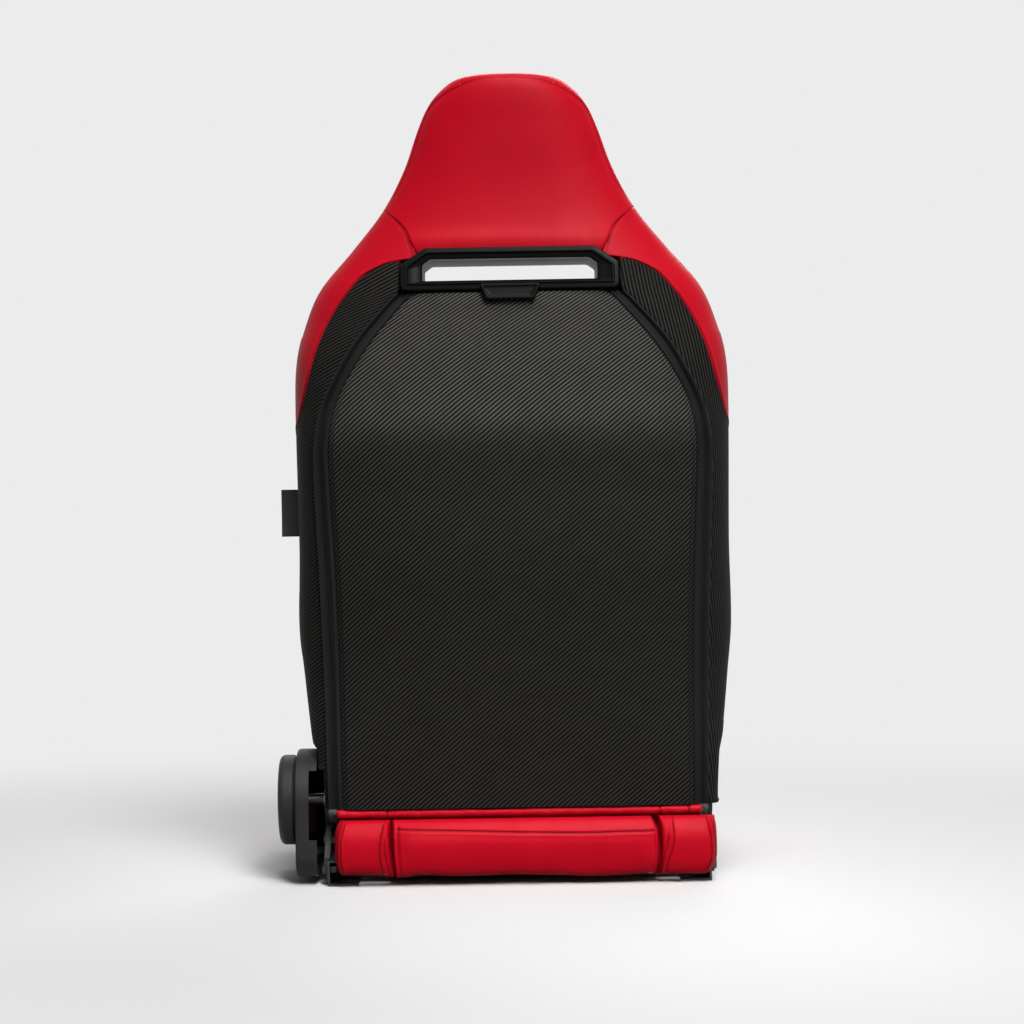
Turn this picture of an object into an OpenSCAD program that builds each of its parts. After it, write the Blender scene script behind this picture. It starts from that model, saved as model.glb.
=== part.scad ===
// Reclining sport seat: upholstered back and cushion on a steel frame, turned by a side dial.
// Millimetres. +X is the seat's right side, +Y is the way it faces, +Z is up.
// The origin is the centre of the four floor mounting holes, on the rails' underside.

/* [Mounting] */
// Distance between the left and right mounting holes
mount_x = 410; // [370:1:440]
// Distance between the front and rear mounting holes
mount_y = 290; // [240:1:340]
// Radius of the mounting holes
mount_r = 4.25; // [3.25:0.05:5.25]

/* [Base frame] */
// Half width over the rails' outer faces
rail_x = 224; // [221:0.5:225]
// Width of the rails' lower flanges
rail_foot = 36; // [32:1:46]
// Height of the rails
rail_h = 30; // [27:0.5:31]
// Thickness of the rails' steel
rail_wall = 2.5; // [2:0.1:3]
// Front end of the rails
rail_front = 215; // [185:1:225]
// Rear end of the rails
rail_rear = -246; // [-248:1:-236]
// Diameter of the base's cross tubes
base_tube_d = 22; // [18:0.5:23]
// Diameter of the zigzag spring wire
spring_d = 4; // [3:0.1:4.4]
// Number of zigzag springs
spring_count = 4; // [2:1:5]

/* [Recliner] */
// Distance of the pivot from the origin along Y
pivot_y = -186; // [-188:0.5:-184]
// Height of the pivot
pivot_z = 96; // [95:0.5:98]
// Radius of the recliner discs
disc_r = 30; // [27:0.5:31]
// Thickness of each half of a recliner disc
disc_t = 4.7; // [3.8:0.1:4.8]
// Radius of the spigot that the backrest turns on
spigot_r = 20; // [17:0.5:22]
// Thickness of the recliner arms and brackets
plate_t = 4; // [3:0.1:4.2]
// Radius of the cross shaft
shaft_r = 7; // [6:0.1:8]
// Running clearance of the shaft and the spigots
running_gap = 0.05; // [0.02:0.01:0.1]
// Diameter of the dial knob
knob_d = 106; // [90:1:112]
// Thickness of the dial knob
knob_t = 20; // [16:0.5:24]
// Radius of the side cover's round hub
hub_r = 60; // [56:0.5:61]
// Depth of the side cover
cover_depth = 25; // [23:0.5:32]
// Wall of the side cover
cover_wall = 2.5; // [2:0.1:3]

/* [Back frame] */
// Diameter of the back's bent tube
tube_d = 25; // [22:0.5:25.4]
// Wall of the back's tubes
tube_wall = 2; // [1.5:0.1:3]
// Bend radius of the back's tube
tube_bend = 45; // [38:1:52]
// Diameter of the back's suspension wires
wire_d = 4; // [3:0.1:5]

/* [Backrest] */
// Height of the backrest's top
back_top = 945; // [935:1:960]
// Height of the back panels' lower edge
back_bottom = 88; // [86:0.5:92]
// Thickness of the back panels
skin_t = 4; // [3:0.1:4.2]
// How far the centre panel stands out from the side panels
panel_rise = 3; // [1:0.1:4]
// Depth of the groove between the two beads of an edge band
band_drop = 2.5; // [1:0.1:3]
// Half width of the front pad
pad_x = 152; // [146:1:156]
// Depth of the sewn channels in the pads
channel_depth = 6; // [2:0.5:8]
// Distance between the channels in the back's front pad
back_channel_pitch = 78; // [60:1:110]
// Radius of the hem roll
hem_r = 5.5; // [4:0.1:5.6]

/* [Harness slot] */
// Half width of the harness slot's opening
slot_x = 100; // [90:1:101]
// Lower edge of the opening
slot_low = 699; // [697:0.5:704]
// Upper edge of the opening
slot_high = 724; // [715:0.5:725]
// Wall of the slot's sleeve
sleeve_wall = 2.5; // [1.5:0.1:3]
// Half width of the slot's bezels
bezel_x = 125; // [120:0.5:130]
// How far the rear bezel stands out
bezel_t = 8; // [5:0.5:10]

/* [Cushion] */
// How far the cushion sits to the right of the back's centre
cushion_shift = 5.5; // [0:0.5:6]
// Half width of the cushion's centre
cushion_x = 158; // [150:1:160]
// Half width of the cushion at its rear end
cushion_end_x = 222; // [216:1:223]
// Half width over the thigh bolsters
cushion_wide_x = 246; // [236:1:250]
// Height of the cushion's rear roll
lip_top = 77; // [72:0.5:79]
// Height of the cushion's lower edge
lip_bottom = 8; // [6:0.5:12]
// Rear face of the cushion
lip_rear = -270; // [-276:0.5:-266]
// Thickness of the cushion's rear roll
lip_t = 17; // [14:0.5:18]
// Height of the seating surface at its lowest
seat_z = 112; // [105:1:122]
// Front face of the cushion
cushion_front = 268; // [250:1:290]
// Distance between the cushion's channels
seat_channel_pitch = 62; // [45:1:90]

/* [Hidden] */

// Gaps between pieces that lie against each other
seat_gap = 0.2;
flat_gap = 0.3;
// Gap between the back panels and the foam that they cover
cover_gap = 0.8;

// Recliner stack, from the arm outwards
arm_in = rail_x - 14;
disc_gap = 0.3;
moving_in = arm_in + plate_t;
fixed_in = moving_in + disc_t + disc_gap;
bracket_in = fixed_in + disc_t + 0.3;
bracket_out = bracket_in + plate_t;
cover_in = bracket_out + 8;
cover_out = cover_in + cover_depth;
knob_gap = 1;
shaft_right = bracket_out + 2.8;

// Back tube: points of its centre line, left side from the bottom up
tube_r = tube_d / 2;
tube_x = arm_in - tube_r - seat_gap;
neck_x = slot_x + sleeve_wall + tube_r + 1;
hoop_half = [
    [tube_x, -207, 135], [tube_x, -272, 540], [neck_x, -262, 690], [neck_x, -260, 735],
    [84, -240, 800], [70, -233, 890]
];
function flip_x(p) = [-p[0], p[1], p[2]];
hoop_path = concat(
    [for (p = hoop_half) flip_x(p)],
    [for (i = [len(hoop_half) - 1 : -1 : 0]) hoop_half[i]]
);
// Front of the tube, where the front pad's back lies, at height z
function tube_y(z) = z < 540
    ? -207 - (z - 135) * 65 / 405
    : -272 + (z - 540) * 10 / 150;

// ---- curves -------------------------------------------------------------------------------

function mix(a, b, t) = a + (b - a) * t;
function steps(a, b, n) = [for (i = [0 : n]) mix(a, b, i / n)];
function clamp(v, low, high) = min(max(v, low), high);

// Smooth curve through points [place, value]: a cubic between each two, sloped like its
// neighbours
function place_of(t, p) = clamp(len([for (q = p) if (q[0] <= t) 1]) - 1, 0, len(p) - 2);
function slope_of(i, p) = let (a = max(i - 1, 0), b = min(i + 1, len(p) - 1))
    (p[b][1] - p[a][1]) / (p[b][0] - p[a][0]);
function smooth(t, p) = let (
        i = place_of(t, p),
        h = p[i + 1][0] - p[i][0],
        u = clamp((t - p[i][0]) / h, 0, 1),
        m0 = slope_of(i, p) * h,
        m1 = slope_of(i + 1, p) * h
    )
    (2 * u * u * u - 3 * u * u + 1) * p[i][1] + (u * u * u - 2 * u * u + u) * m0
    + (3 * u * u - 2 * u * u * u) * p[i + 1][1] + (u * u * u - u * u) * m1;

// ---- solids through sections -----------------------------------------------------------------

// A solid between an outer and an inner sheet of points, each a list of rows of the same length
module sheet_solid(outer, inner, turned = false) {
    rows = len(outer);
    cols = len(outer[0]);
    per = rows * cols;
    points = concat([for (r = outer) each r], [for (r = inner) each r]);
    function at(s, r, c) = s * per + r * cols + c;
    function quad(a, b, c, d) = turned ? [[a, c, b], [a, d, c]] : [[a, b, c], [a, c, d]];
    sheets = [
        for (r = [0 : rows - 2], c = [0 : cols - 2])
            each concat(
                quad(at(0, r, c), at(0, r, c + 1), at(0, r + 1, c + 1), at(0, r + 1, c)),
                quad(at(1, r, c), at(1, r + 1, c), at(1, r + 1, c + 1), at(1, r, c + 1))
            )
    ];
    ends = [
        for (c = [0 : cols - 2])
            each concat(
                quad(at(0, 0, c), at(1, 0, c), at(1, 0, c + 1), at(0, 0, c + 1)),
                quad(
                    at(0, rows - 1, c), at(0, rows - 1, c + 1),
                    at(1, rows - 1, c + 1), at(1, rows - 1, c)
                )
            )
    ];
    sides = [
        for (r = [0 : rows - 2])
            each concat(
                quad(at(0, r, 0), at(0, r + 1, 0), at(1, r + 1, 0), at(1, r, 0)),
                quad(
                    at(0, r, cols - 1), at(1, r, cols - 1),
                    at(1, r + 1, cols - 1), at(0, r + 1, cols - 1)
                )
            )
    ];
    polyhedron(points = points, faces = concat(sheets, ends, sides), convexity = 6);
}

// A solid through closed rings of points, each with the same number of points
module ring_solid(rings, turned = false) {
    rows = len(rings);
    cols = len(rings[0]);
    middle = [for (r = [rings[0], rings[rows - 1]]) centre_of(r)];
    points = concat([for (r = rings) each r], middle);
    function at(r, c) = r * cols + c % cols;
    function face(a, b, c) = turned ? [a, c, b] : [a, b, c];
    walls = [
        for (r = [0 : rows - 2], c = [0 : cols - 1])
            each [
                face(at(r, c), at(r, c + 1), at(r + 1, c + 1)),
                face(at(r, c), at(r + 1, c + 1), at(r + 1, c))
            ]
    ];
    caps = [
        for (c = [0 : cols - 1])
            each [
                face(rows * cols, at(0, c + 1), at(0, c)),
                face(rows * cols + 1, at(rows - 1, c), at(rows - 1, c + 1))
            ]
    ];
    polyhedron(points = points, faces = concat(walls, caps), convexity = 6);
}

// A wall between two sets of closed rings, open at both ends
module tube_solid(outer, inner) {
    rows = len(outer);
    cols = len(outer[0]);
    points = concat([for (r = outer) each r], [for (r = inner) each r]);
    function at(s, r, c) = (s * rows + r) * cols + c % cols;
    function quad(a, b, c, d) = [[a, b, c], [a, c, d]];
    walls = [
        for (r = [0 : rows - 2], c = [0 : cols - 1])
            each concat(
                quad(at(0, r, c), at(0, r, c + 1), at(0, r + 1, c + 1), at(0, r + 1, c)),
                quad(at(1, r, c), at(1, r + 1, c), at(1, r + 1, c + 1), at(1, r, c + 1))
            )
    ];
    ends = [
        for (c = [0 : cols - 1])
            each concat(
                quad(at(0, 0, c), at(1, 0, c), at(1, 0, c + 1), at(0, 0, c + 1)),
                quad(
                    at(0, rows - 1, c), at(0, rows - 1, c + 1),
                    at(1, rows - 1, c + 1), at(1, rows - 1, c)
                )
            )
    ];
    polyhedron(points = points, faces = concat(walls, ends), convexity = 6);
}
function centre_of(row) = [for (k = [0 : 2]) [for (p = row) p[k]] * [for (p = row) 1] / len(row)];

// A row of points mirrored to the left or kept at the right
function to_side(row, side) = [for (p = row) [side * p[0], p[1], p[2]]];

// ---- bent tubes --------------------------------------------------------------------------------

function unit(v) = v / norm(v);
function turn_at(path, i) = acos(clamp(unit(path[i] - path[i - 1]) * unit(path[i + 1] - path[i]), -1, 1));
function tangent_at(path, i, bend) =
    i == 0 || i == len(path) - 1 ? 0 : bend * tan(turn_at(path, i) / 2);

// Points and directions along a path whose corners are bent to one radius
function spine_of(path, bend) = [
    for (i = [0 : len(path) - 1])
        each i == 0 || i == len(path) - 1
            ? [[path[i], unit(i == 0 ? path[1] - path[0] : path[i] - path[i - 1])]]
            : bend_spine(path, i, bend)
];
function rings_of(spine, radius, sides) = [
    for (s = spine)
        let (u = unit(cross(s[1], [0, 1, 0])), v = cross(u, s[1]))
            [for (a = [0 : 360 / sides : 359]) s[0] + radius * (u * cos(a) + v * sin(a))]
];
// Tube along a path, open at both ends
module bent_tube(path, radius, bend, wall, sides = 12) {
    spine = spine_of(path, bend);
    outer = rings_of(spine, radius, sides);
    inner = rings_of(spine, radius - wall, sides);
    tube_solid(outer, inner);
}
// The space that a bent tube takes, with flat sides that clear the tube
module tube_space(path, radius, bend, sides = 8) {
    spine = spine_of(path, bend);
    rings = rings_of(spine, radius / cos(180 / sides), sides);
    for (i = [0 : len(rings) - 2])
        hull() {
            ring_solid([rings[i], rings[i + 1]]);
            // A small core inside keeps the hull's corners exact
            translate(spine[i][0])
                cube(1, center = true);
        }
}
// Points and directions along one bend
function bend_spine(path, i, bend) = let (
        before = unit(path[i] - path[i - 1]),
        after = unit(path[i + 1] - path[i]),
        turn = turn_at(path, i),
        centre = path[i] + unit(after - before) * bend / cos(turn / 2),
        out = unit(path[i] - before * tangent_at(path, i, bend) - centre)
    )
    [
        for (a = steps(0, turn, turn < 20 ? 1 : max(2, round(turn / 25))))
            [centre + bend * (out * cos(a) + before * sin(a)), before * cos(a) - out * sin(a)]
    ];

// ---- shape of the backrest ---------------------------------------------------------------------

// Half width of the backrest at each height
width_points = [
    [76, 235.4], [110, 235.8], [150, 238.5], [172, 243], [240, 251], [300, 256.5], [400, 254.5],
    [560, 254.5], [610, 252], [648, 243], [695, 223], [741, 184], [786, 148], [833, 122.5], [880, 105.5],
    [903, 96], [920, 85.5], [934, 71], [941, 59], [945, 44]
];
// The same shape reaches up to the backrest's top
function shape_z(z) = z < 741 ? z : 741 + (z - 741) * (945 - 741) / (back_top - 741);
function half_width(z) = smooth(shape_z(z), width_points);
// Rear surface at the centre
rear_points = [
    [76, -234], [150, -250.5], [300, -284], [440, -314], [510, -329], [530, -331], [552, -329],
    [620, -319], [740, -290], [800, -281], [880, -280], [915, -277], [934, -270], [945, -256]
];
function rear_y(z) = smooth(shape_z(z), rear_points);
// Widest place of the section, between its rear and its front
side_points = [
    [76, -178], [150, -172], [300, -155], [450, -175], [600, -195], [741, -222], [800, -228],
    [920, -228], [945, -230]
];
function side_y(z) = smooth(shape_z(z), side_points);
// Front surface at the centre
front_points = [
    [96, -138], [150, -141], [250, -150], [480, -213], [600, -222], [690, -207], [741, -192],
    [800, -181], [880, -181], [915, -186], [934, -196], [945, -208]
];
function front_y(z) = smooth(shape_z(z), front_points);
// How boxy the rear half of the section is: the power of its superellipse
boxy_points = [
    [76, 8], [130, 7.4], [180, 4.8], [230, 3.8], [300, 3.5], [600, 3.3], [700, 2.9], [780, 2.5],
    [945, 2.4]
];
function boxy(z) = smooth(shape_z(z), boxy_points);
// Front edge of the side bolsters
tip_points = [
    [150, -134], [175, -112], [210, -84], [260, -62], [330, -64], [420, -82], [520, -116],
    [600, -150], [680, -182], [741, -190], [790, -186]
];
function tip_y(z) = smooth(z, tip_points);
// Half widths of the centre panel and of the edge bands' outer side
panel_points = [
    [88, 205], [330, 206], [480, 211], [510, 211], [551, 204], [585, 189], [628, 161], [671, 125],
    [685, 112]
];
function panel_x(z) = smooth(z, panel_points);
band_points = [
    [88, 221], [330, 225], [480, 229], [510, 228], [551, 221], [585, 206], [628, 182], [676, 141],
    [685, 131]
];
function band_x(z) = smooth(z, band_points);
// Half width where the black side panel meets the red shoulder
red_points = [
    [540, 250], [573, 241], [595, 235], [619, 228], [641, 219], [664, 207], [687, 191],
    [710, 169], [724, 140]
];
function red_x(z) = smooth(z, red_points);
side_panel_top = 724;
panel_top = 685;

// Angle on the section, 0 at the rear centre and 90 at the side, of the place x from the centre
function angle_at(z, x) = asin(pow(min(1, x / half_width(z)), boxy(z) / 2));
// Point of the section's rear half: a superellipse, moved out by lift
function rear_point(z, a, lift = 0) = let (
        w = half_width(z) + lift,
        d = side_y(z) - rear_y(z) + lift,
        e = 2 / boxy(z)
    )
    [w * pow(max(sin(a), 0), e), side_y(z) - d * pow(max(cos(a), 0), e), z];
// Point of the bolster's outer front quarter, from the side at 90 to the tip at 180
bolster_power = 0.84;
function bolster_x(z, inner) = mix(inner, half_width(z), 0.52);
function front_point(z, a, inner) = let (cx = bolster_x(z, inner))
    [
        cx + (half_width(z) - cx) * pow(max(sin(a), 0), bolster_power),
        side_y(z) + (tip_y(z) - side_y(z)) * pow(max(-cos(a), 0), bolster_power),
        z
    ];
function skin_point(z, a, lift, inner) = a <= 90
    ? rear_point(z, a, lift)
    : front_point(z, a, inner) + lift * [sin(a), -cos(a), 0];
// Angle at which the red bolster takes over from the black side panel
left_red_points = [
    [150, 104], [240, 102], [268, 88], [340, 88], [375, 102], [470, 102], [520, 92], [540, 80]
];
right_red_points = [[150, 104], [240, 104], [470, 102], [520, 92], [540, 80]];
function red_angle(z, side) = z < 540
    ? smooth(z, side < 0 ? left_red_points : right_red_points)
    : angle_at(z, red_x(z));

// ---- back panels -------------------------------------------------------------------------------

// Lowest section of the side bolsters, and the lower edge of the left side panel, above the cover
bolster_foot = 150;
left_panel_foot = 160;
// Heights of the sections through the back panels and the bolsters, closer where the panels arch in
panel_heights = concat(
    steps(back_bottom, bolster_foot, 2), [left_panel_foot], steps(205, 500, 7), steps(520, 560, 2),
    steps(578, panel_top, 6)
);
module rear_panel() {
    heights = panel_heights;
    function row(z, lift) = [
        for (x = steps(-panel_x(z), panel_x(z), 10))
            let (p = rear_point(z, angle_at(z, abs(x)), lift)) [x < 0 ? -p[0] : p[0], p[1], z]
    ];
    color("#26272a")
        sheet_solid(
            [for (z = heights) row(z, panel_rise)],
            [for (z = heights) row(z, -skin_t)],
            turned = true
        );
}

module edge_band(side) {
    heights = panel_heights;
    // Two beads, at the centre panel and at the side panel, with a groove between them
    lifts = [panel_rise, 3.6, 0.6 - band_drop, -band_drop, -band_drop, 0.6 - band_drop, 2.6, 1.6, 0];
    across = [0, 0.14, 0.3, 0.42, 0.58, 0.7, 0.82, 0.94, 1];
    function row(z, outer) = [
        for (i = [0 : len(across) - 1])
            let (a = angle_at(z, mix(panel_x(z), band_x(z), across[i])))
                rear_point(z, a, outer ? lifts[i] : -skin_t)
    ];
    color("#1b1b1d")
        sheet_solid(
            [for (z = heights) to_side(row(z, true), side)],
            [for (z = heights) to_side(row(z, false), side)],
            turned = side > 0
        );
}
module edge_band_left() { edge_band(-1); }
module edge_band_right() { edge_band(1); }

// Angle at which the side panel starts, beside the edge band and, above that, beside the bezel
function panel_angle(z) = angle_at(z, z < panel_top ? band_x(z) : bezel_x + 3);
function panel_end(z, side) = max(red_angle(z, side), panel_angle(z) + 1);
side_heights = concat(
    [for (z = panel_heights) if (z < panel_top - 1) z],
    [panel_top - 0.2, panel_top + 0.2, 706, side_panel_top]
);
module side_panel(side) {
    foot = side < 0 ? left_panel_foot : back_bottom;
    heights = [for (z = side_heights) if (z >= foot) z];
    function row(z, lift) =
        [for (a = steps(panel_angle(z), panel_end(z, side), 8)) skin_point(z, a, lift, pad_x)];
    color("#232427")
        sheet_solid(
            [for (z = heights) to_side(row(z, 0), side)],
            [for (z = heights) to_side(row(z, -skin_t), side)],
            turned = side > 0
        );
}
module side_panel_left() {
    side_panel(-1);
    // Narrow strip that goes on down beside the recliner
    strip = 6;
    heights = [for (z = panel_heights) if (z <= left_panel_foot) z];
    function row(z, lift) = [
        for (x = steps(band_x(z), band_x(z) + strip, 2)) rear_point(z, angle_at(z, x), lift)
    ];
    color("#232427")
        sheet_solid(
            [for (z = heights) to_side(row(z, 0), -1)],
            [for (z = heights) to_side(row(z, -skin_t), -1)]
        );
}
module side_panel_right() { side_panel(1); }

// ---- pads of the back --------------------------------------------------------------------------

module frame_space() {
    tube_space(hoop_path, tube_r + seat_gap, tube_bend);
}
// Hollow between the tubes, behind the front pad, that holds the wires and cross tubes
module suspension_space(side) {
    function reach(z) = z < 540 ? tube_x : mix(tube_x, neck_x, (z - 540) / 150);
    function ring(z) = let (front = tube_y(z) + tube_r + seat_gap)
        [
            for (p = [[140, -400], [reach(z), -400], [reach(z), front], [140, front]])
                [side * p[0], p[1], z]
        ];
    ring_solid([for (z = [120, 540, 622]) ring(z)], turned = side > 0);
}

bolster_top = 786;
// Half width of the left bolster's foot, beside the recliner's cover
left_foot_x = cover_in - 2.5;
// The head section's side seam, half width at each height
seam_points = [[727, 106], [741, 111], [762, 121], [786, 144]];
function seam_x(z) = smooth(z, seam_points);
// Front half of the head's section: a superellipse from the side to the front's centre
head_power = 0.72;
function head_front(z, a) = [
    half_width(z) * pow(max(sin(a), 0), head_power),
    side_y(z) + (front_y(z) - side_y(z)) * pow(max(-cos(a), 0), head_power),
    z
];
// Front of the bolster from the side, over the tip and down the inner flank: t runs 0 to 1.
// Towards the top it becomes the head's front.
function bolster_front(z, inner, t) = let (
        cx = bolster_x(z, inner),
        edge = front_y(z) + 6,
        b = clamp((t - 0.66) / 0.34, 0, 1) * 90,
        low = t < 0.66
            ? front_point(z, 90 + 90 * t / 0.66, inner)
            : [
                cx - (cx - inner) * pow(sin(b), 0.9),
                edge + (tip_y(z) - edge) * pow(max(cos(b), 0), 0.9),
                z
            ],
        last = 180 - asin(pow(min(inner / half_width(z), 1), 1 / head_power)),
        high = head_front(z, mix(90, last, t)),
        blend = clamp((z - 600) / 126, 0, 1)
    )
    mix(low, high, blend * blend * (3 - 2 * blend));
module side_bolster(side) {
    heights = concat(
        [for (z = side_heights) if (z >= bolster_foot && z < panel_top) z],
        [pad_top + 0.1, pad_top + 0.6, 706, side_panel_top - 0.3, side_panel_top + 0.2],
        steps(741, bolster_top, 2)
    );
    beside_slot = slot_x + sleeve_wall + 3;
    // Extra depth at the first point, which lies between two of the flat centre panel's points
    flat_ease = 0.8;
    function inner_x(z) =
        z < pad_top + 0.3 ? pad_x : z < head_foot + 0.3 ? beside_slot : seam_x(z) + seat_gap;
    function covered(z) = z < side_panel_top ? -skin_t - cover_gap : 0;
    function outer_row(z) = let (
            inner = inner_x(z),
            start = angle_at(z, inner),
            from = max(panel_angle(z), start + 1),
            change = z < side_panel_top ? max(panel_end(z, side), from + 1) : mix(start, 90, 0.4),
            bare = change + 0.6,
            turn = max((bare - 90) / 90 * 0.66, 0),
            widest = side < 0 && z < bolster_foot + 1 ? left_foot_x : 2 * tube_x
        )
        [for (p = full_row(z, inner, start, from, change, bare, turn)) [min(p[0], widest), p[1], z]];
    // Under the panels the points are some of the panels' own, so the two lie evenly apart
    function under_panel(z, start, from) = [
        max(angle_at(z, 0.8 * panel_x(z)), mix(start, from, 0.06)),
        max(angle_at(z, panel_x(z)), mix(start, from, 0.12))
    ];
    function full_row(z, inner, start, from, change, bare, turn) =
        concat(
            [skin_point(z, start, covered(z) - flat_ease, inner)],
            [
                for (a = concat(under_panel(z, start, from), steps(from, change, 4)))
                    skin_point(z, a, covered(z), inner)
            ],
            bare < 88
                ? [for (a = steps(bare, 78 + bare * 0.1, 2)) rear_point(z, a)]
                : [for (t = steps(turn, turn + 0.06, 2)) bolster_front(z, inner, t)],
            [for (t = steps(turn + 0.1, 1, 9)) bolster_front(z, inner, t)]
        );
    function inner_row(z) = let (row = outer_row(z), last = len(row) - 1)
        [for (i = [0 : last]) [inner_x(z), mix(row[0][1], row[last][1], i / last), z]];
    color("#c8101c")
        difference() {
            sheet_solid(
                [for (z = heights) to_side(outer_row(z), side)],
                [for (z = heights) to_side(inner_row(z), side)],
                turned = side > 0
            );
            frame_space();
            suspension_space(side);
            arm_space(side);
            bezel_spaces();
        }
}
module side_bolster_left() { side_bolster(-1); }
module side_bolster_right() { side_bolster(1); }

// Foam beside the recliner, rounded about the pivot, with room for the shaft and the tube's foot
lower_pad_r = 50;
lower_pad_rear = -212;
module lower_pad(side) {
    low = asin((pivot_y - lower_pad_rear) / lower_pad_r);
    outline = concat(
        [[lower_pad_rear, bolster_foot - seat_gap]],
        [for (a = steps(-90 - low, 0, 14)) [pivot_y + lower_pad_r * cos(a), pivot_z + lower_pad_r * sin(a)]],
        [[front_y(bolster_foot), bolster_foot - seat_gap]]
    );
    color("#c8101c")
        difference() {
            translate([side < 0 ? seat_gap - arm_in + 1 : pad_x, 0, 0])
                rotate([90, 0, 90])
                    linear_extrude(arm_in - pad_x - 1 - seat_gap)
                        polygon(outline);
            frame_space();
            translate([side * (pad_x - 10), pivot_y, pivot_z])
                rotate([0, side * 90, 0])
                    cylinder(h = arm_in, r = shaft_r + 2, $fn = 48);
        }
}
module lower_pad_left() { lower_pad(-1); }
module lower_pad_right() { lower_pad(1); }

// Front pad: its profile from the top down and round under the shaft, carried across
pad_top = slot_low - sleeve_wall - seat_gap;
pad_back_foot = 140;
channel_low = 175;
function channels(s, pitch) = channel_depth * (pow(abs(sin(180 * s / pitch)), 0.5) - 1);
module front_pad() {
    channel_count = floor((pad_top - 20 - channel_low) / back_channel_pitch);
    channel_high = channel_low + channel_count * back_channel_pitch;
    heights = concat(
        [pad_top, pad_top - 12],
        [for (i = [channel_count * 4 : -1 : 0]) channel_low + i * back_channel_pitch / 4],
        [155, 130]
    );
    under = steps(0, -152, 9);
    function under_r(t) = lower_pad_r - 2 * pow(t, 8);
    function front_row(t) = concat(
        [
            for (z = heights)
                let (sewn = z <= channel_high && z >= channel_low)
                    let (c = sewn ? channels(z - channel_low, back_channel_pitch) : 0)
                        [front_y(z) + c * (1 - pow(t, 6)) - 5 * pow(t, 8), z]
        ],
        [for (a = under) [pivot_y + under_r(t) * cos(a), pivot_z + under_r(t) * sin(a)]]
    );
    hole = shaft_r + 9;
    back_row = concat(
        [
            for (z = heights)
                z > pad_back_foot ? [tube_y(z) + tube_r + seat_gap, z] : [pivot_y + hole + 4, z]
        ],
        [for (a = steps(20, -190, 9)) [pivot_y + hole * cos(a), pivot_z + hole * sin(a)]]
    );
    across = [-1, -0.93, -0.6, 0, 0.6, 0.93, 1];
    color("#c8101c")
        difference() {
            sheet_solid(
                [for (t = across) [for (p = front_row(abs(t))) [t * (pad_x - seat_gap), p[0], p[1]]]],
                [for (t = across) [for (p = back_row) [t * (pad_x - seat_gap), p[0], p[1]]]]
            );
            front_bezel_place()
                bezel_pocket();
        }
}

// Head section: rings above the slot, cut narrower at the side seams below
head_foot = slot_high + sleeve_wall + seat_gap;
module headrest() {
    heights = concat(
        [head_foot, 741, 763, 785.8, 786.2, 812, 840, 866],
        [for (a = steps(0, 90, 6)) mix(890, back_top, sin(a))]
    );
    function half_row(z) = let (limit = z < 786 ? seam_x(z) : half_width(z) + 1)
        [
            for (a = steps(0, 180, 14))
                let (p = a <= 90 ? rear_point(z, a, 0) : head_front(z, a)) [min(p[0], limit), p[1], z]
        ];
    function ring(z) = let (row = half_row(z), n = len(row) - 1)
        concat(row, [for (i = [n - 1 : -1 : 1]) flip_x(row[i])]);
    color("#c8101c")
        difference() {
            ring_solid([for (z = heights) ring(z)], turned = true);
            frame_space();
            bezel_spaces();
        }
}

module hem_roll() {
    roll_x = 210;
    color("#c8101c")
        translate([-roll_x, rear_y(back_bottom) + 4, back_bottom - hem_r - flat_gap])
            rotate([0, 90, 0])
                cylinder(h = 2 * roll_x, r = hem_r, $fn = 32);
}

module side_tag() {
    tag_low = 408;
    tag_high = 464;
    tag_out = 22;
    tag_t = 1.6;
    color("#1a1a1b")
        translate([-half_width(436) - seat_gap - tag_out, side_y(436) - tag_t / 2, tag_low])
            cube([tag_out, tag_t, tag_high - tag_low]);
}

// ---- harness slot ------------------------------------------------------------------------------

// Outline with cut upper corners, as wide as half at the foot
module slot_outline(half, low, high, cut, lower_cut = 0) {
    polygon([
        [-half + lower_cut, low], [half - lower_cut, low], [half, low + lower_cut],
        [half, high - cut * 0.72], [half - cut, high], [-half + cut, high],
        [-half, high - cut * 0.72], [-half, low + lower_cut]
    ]);
}

function lean(curve_low, curve_high, low, high) = atan2(curve_high - curve_low, high - low);
bezel_low = panel_top + 2;
bezel_high = 738;
rear_lean = lean(rear_y(bezel_low), rear_y(bezel_high), bezel_low, bezel_high);
front_lean = lean(front_y(bezel_low), front_y(bezel_high), bezel_low, bezel_high);

bezel_sink = 11;
front_bezel_t = 5;
module slot_sleeve() {
    color("#0e0e0f")
        difference() {
            slot_way(slot_x + sleeve_wall, slot_low - sleeve_wall, slot_high + sleeve_wall, 10);
            slot_way(slot_x, slot_low, slot_high, 9);
            bezel_spaces();
        }
}

// The way through for the harness, level through the backrest
module slot_way(half, low, high, cut) {
    translate([0, front_y(slot_low) + 30, 0])
        rotate([90, 0, 0])
            linear_extrude(front_y(slot_low) - rear_y(slot_low) + 60)
                slot_outline(half, low, high, cut);
}
// Outline of the bezels, grown by a gap, on the plane z = 0 with the lower edge near y = 0
module bezel_outline(grow = 0) {
    translate([0, -bezel_low])
        slot_outline(bezel_x + grow, bezel_low - grow, bezel_high + grow, 27, 4);
}
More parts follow.
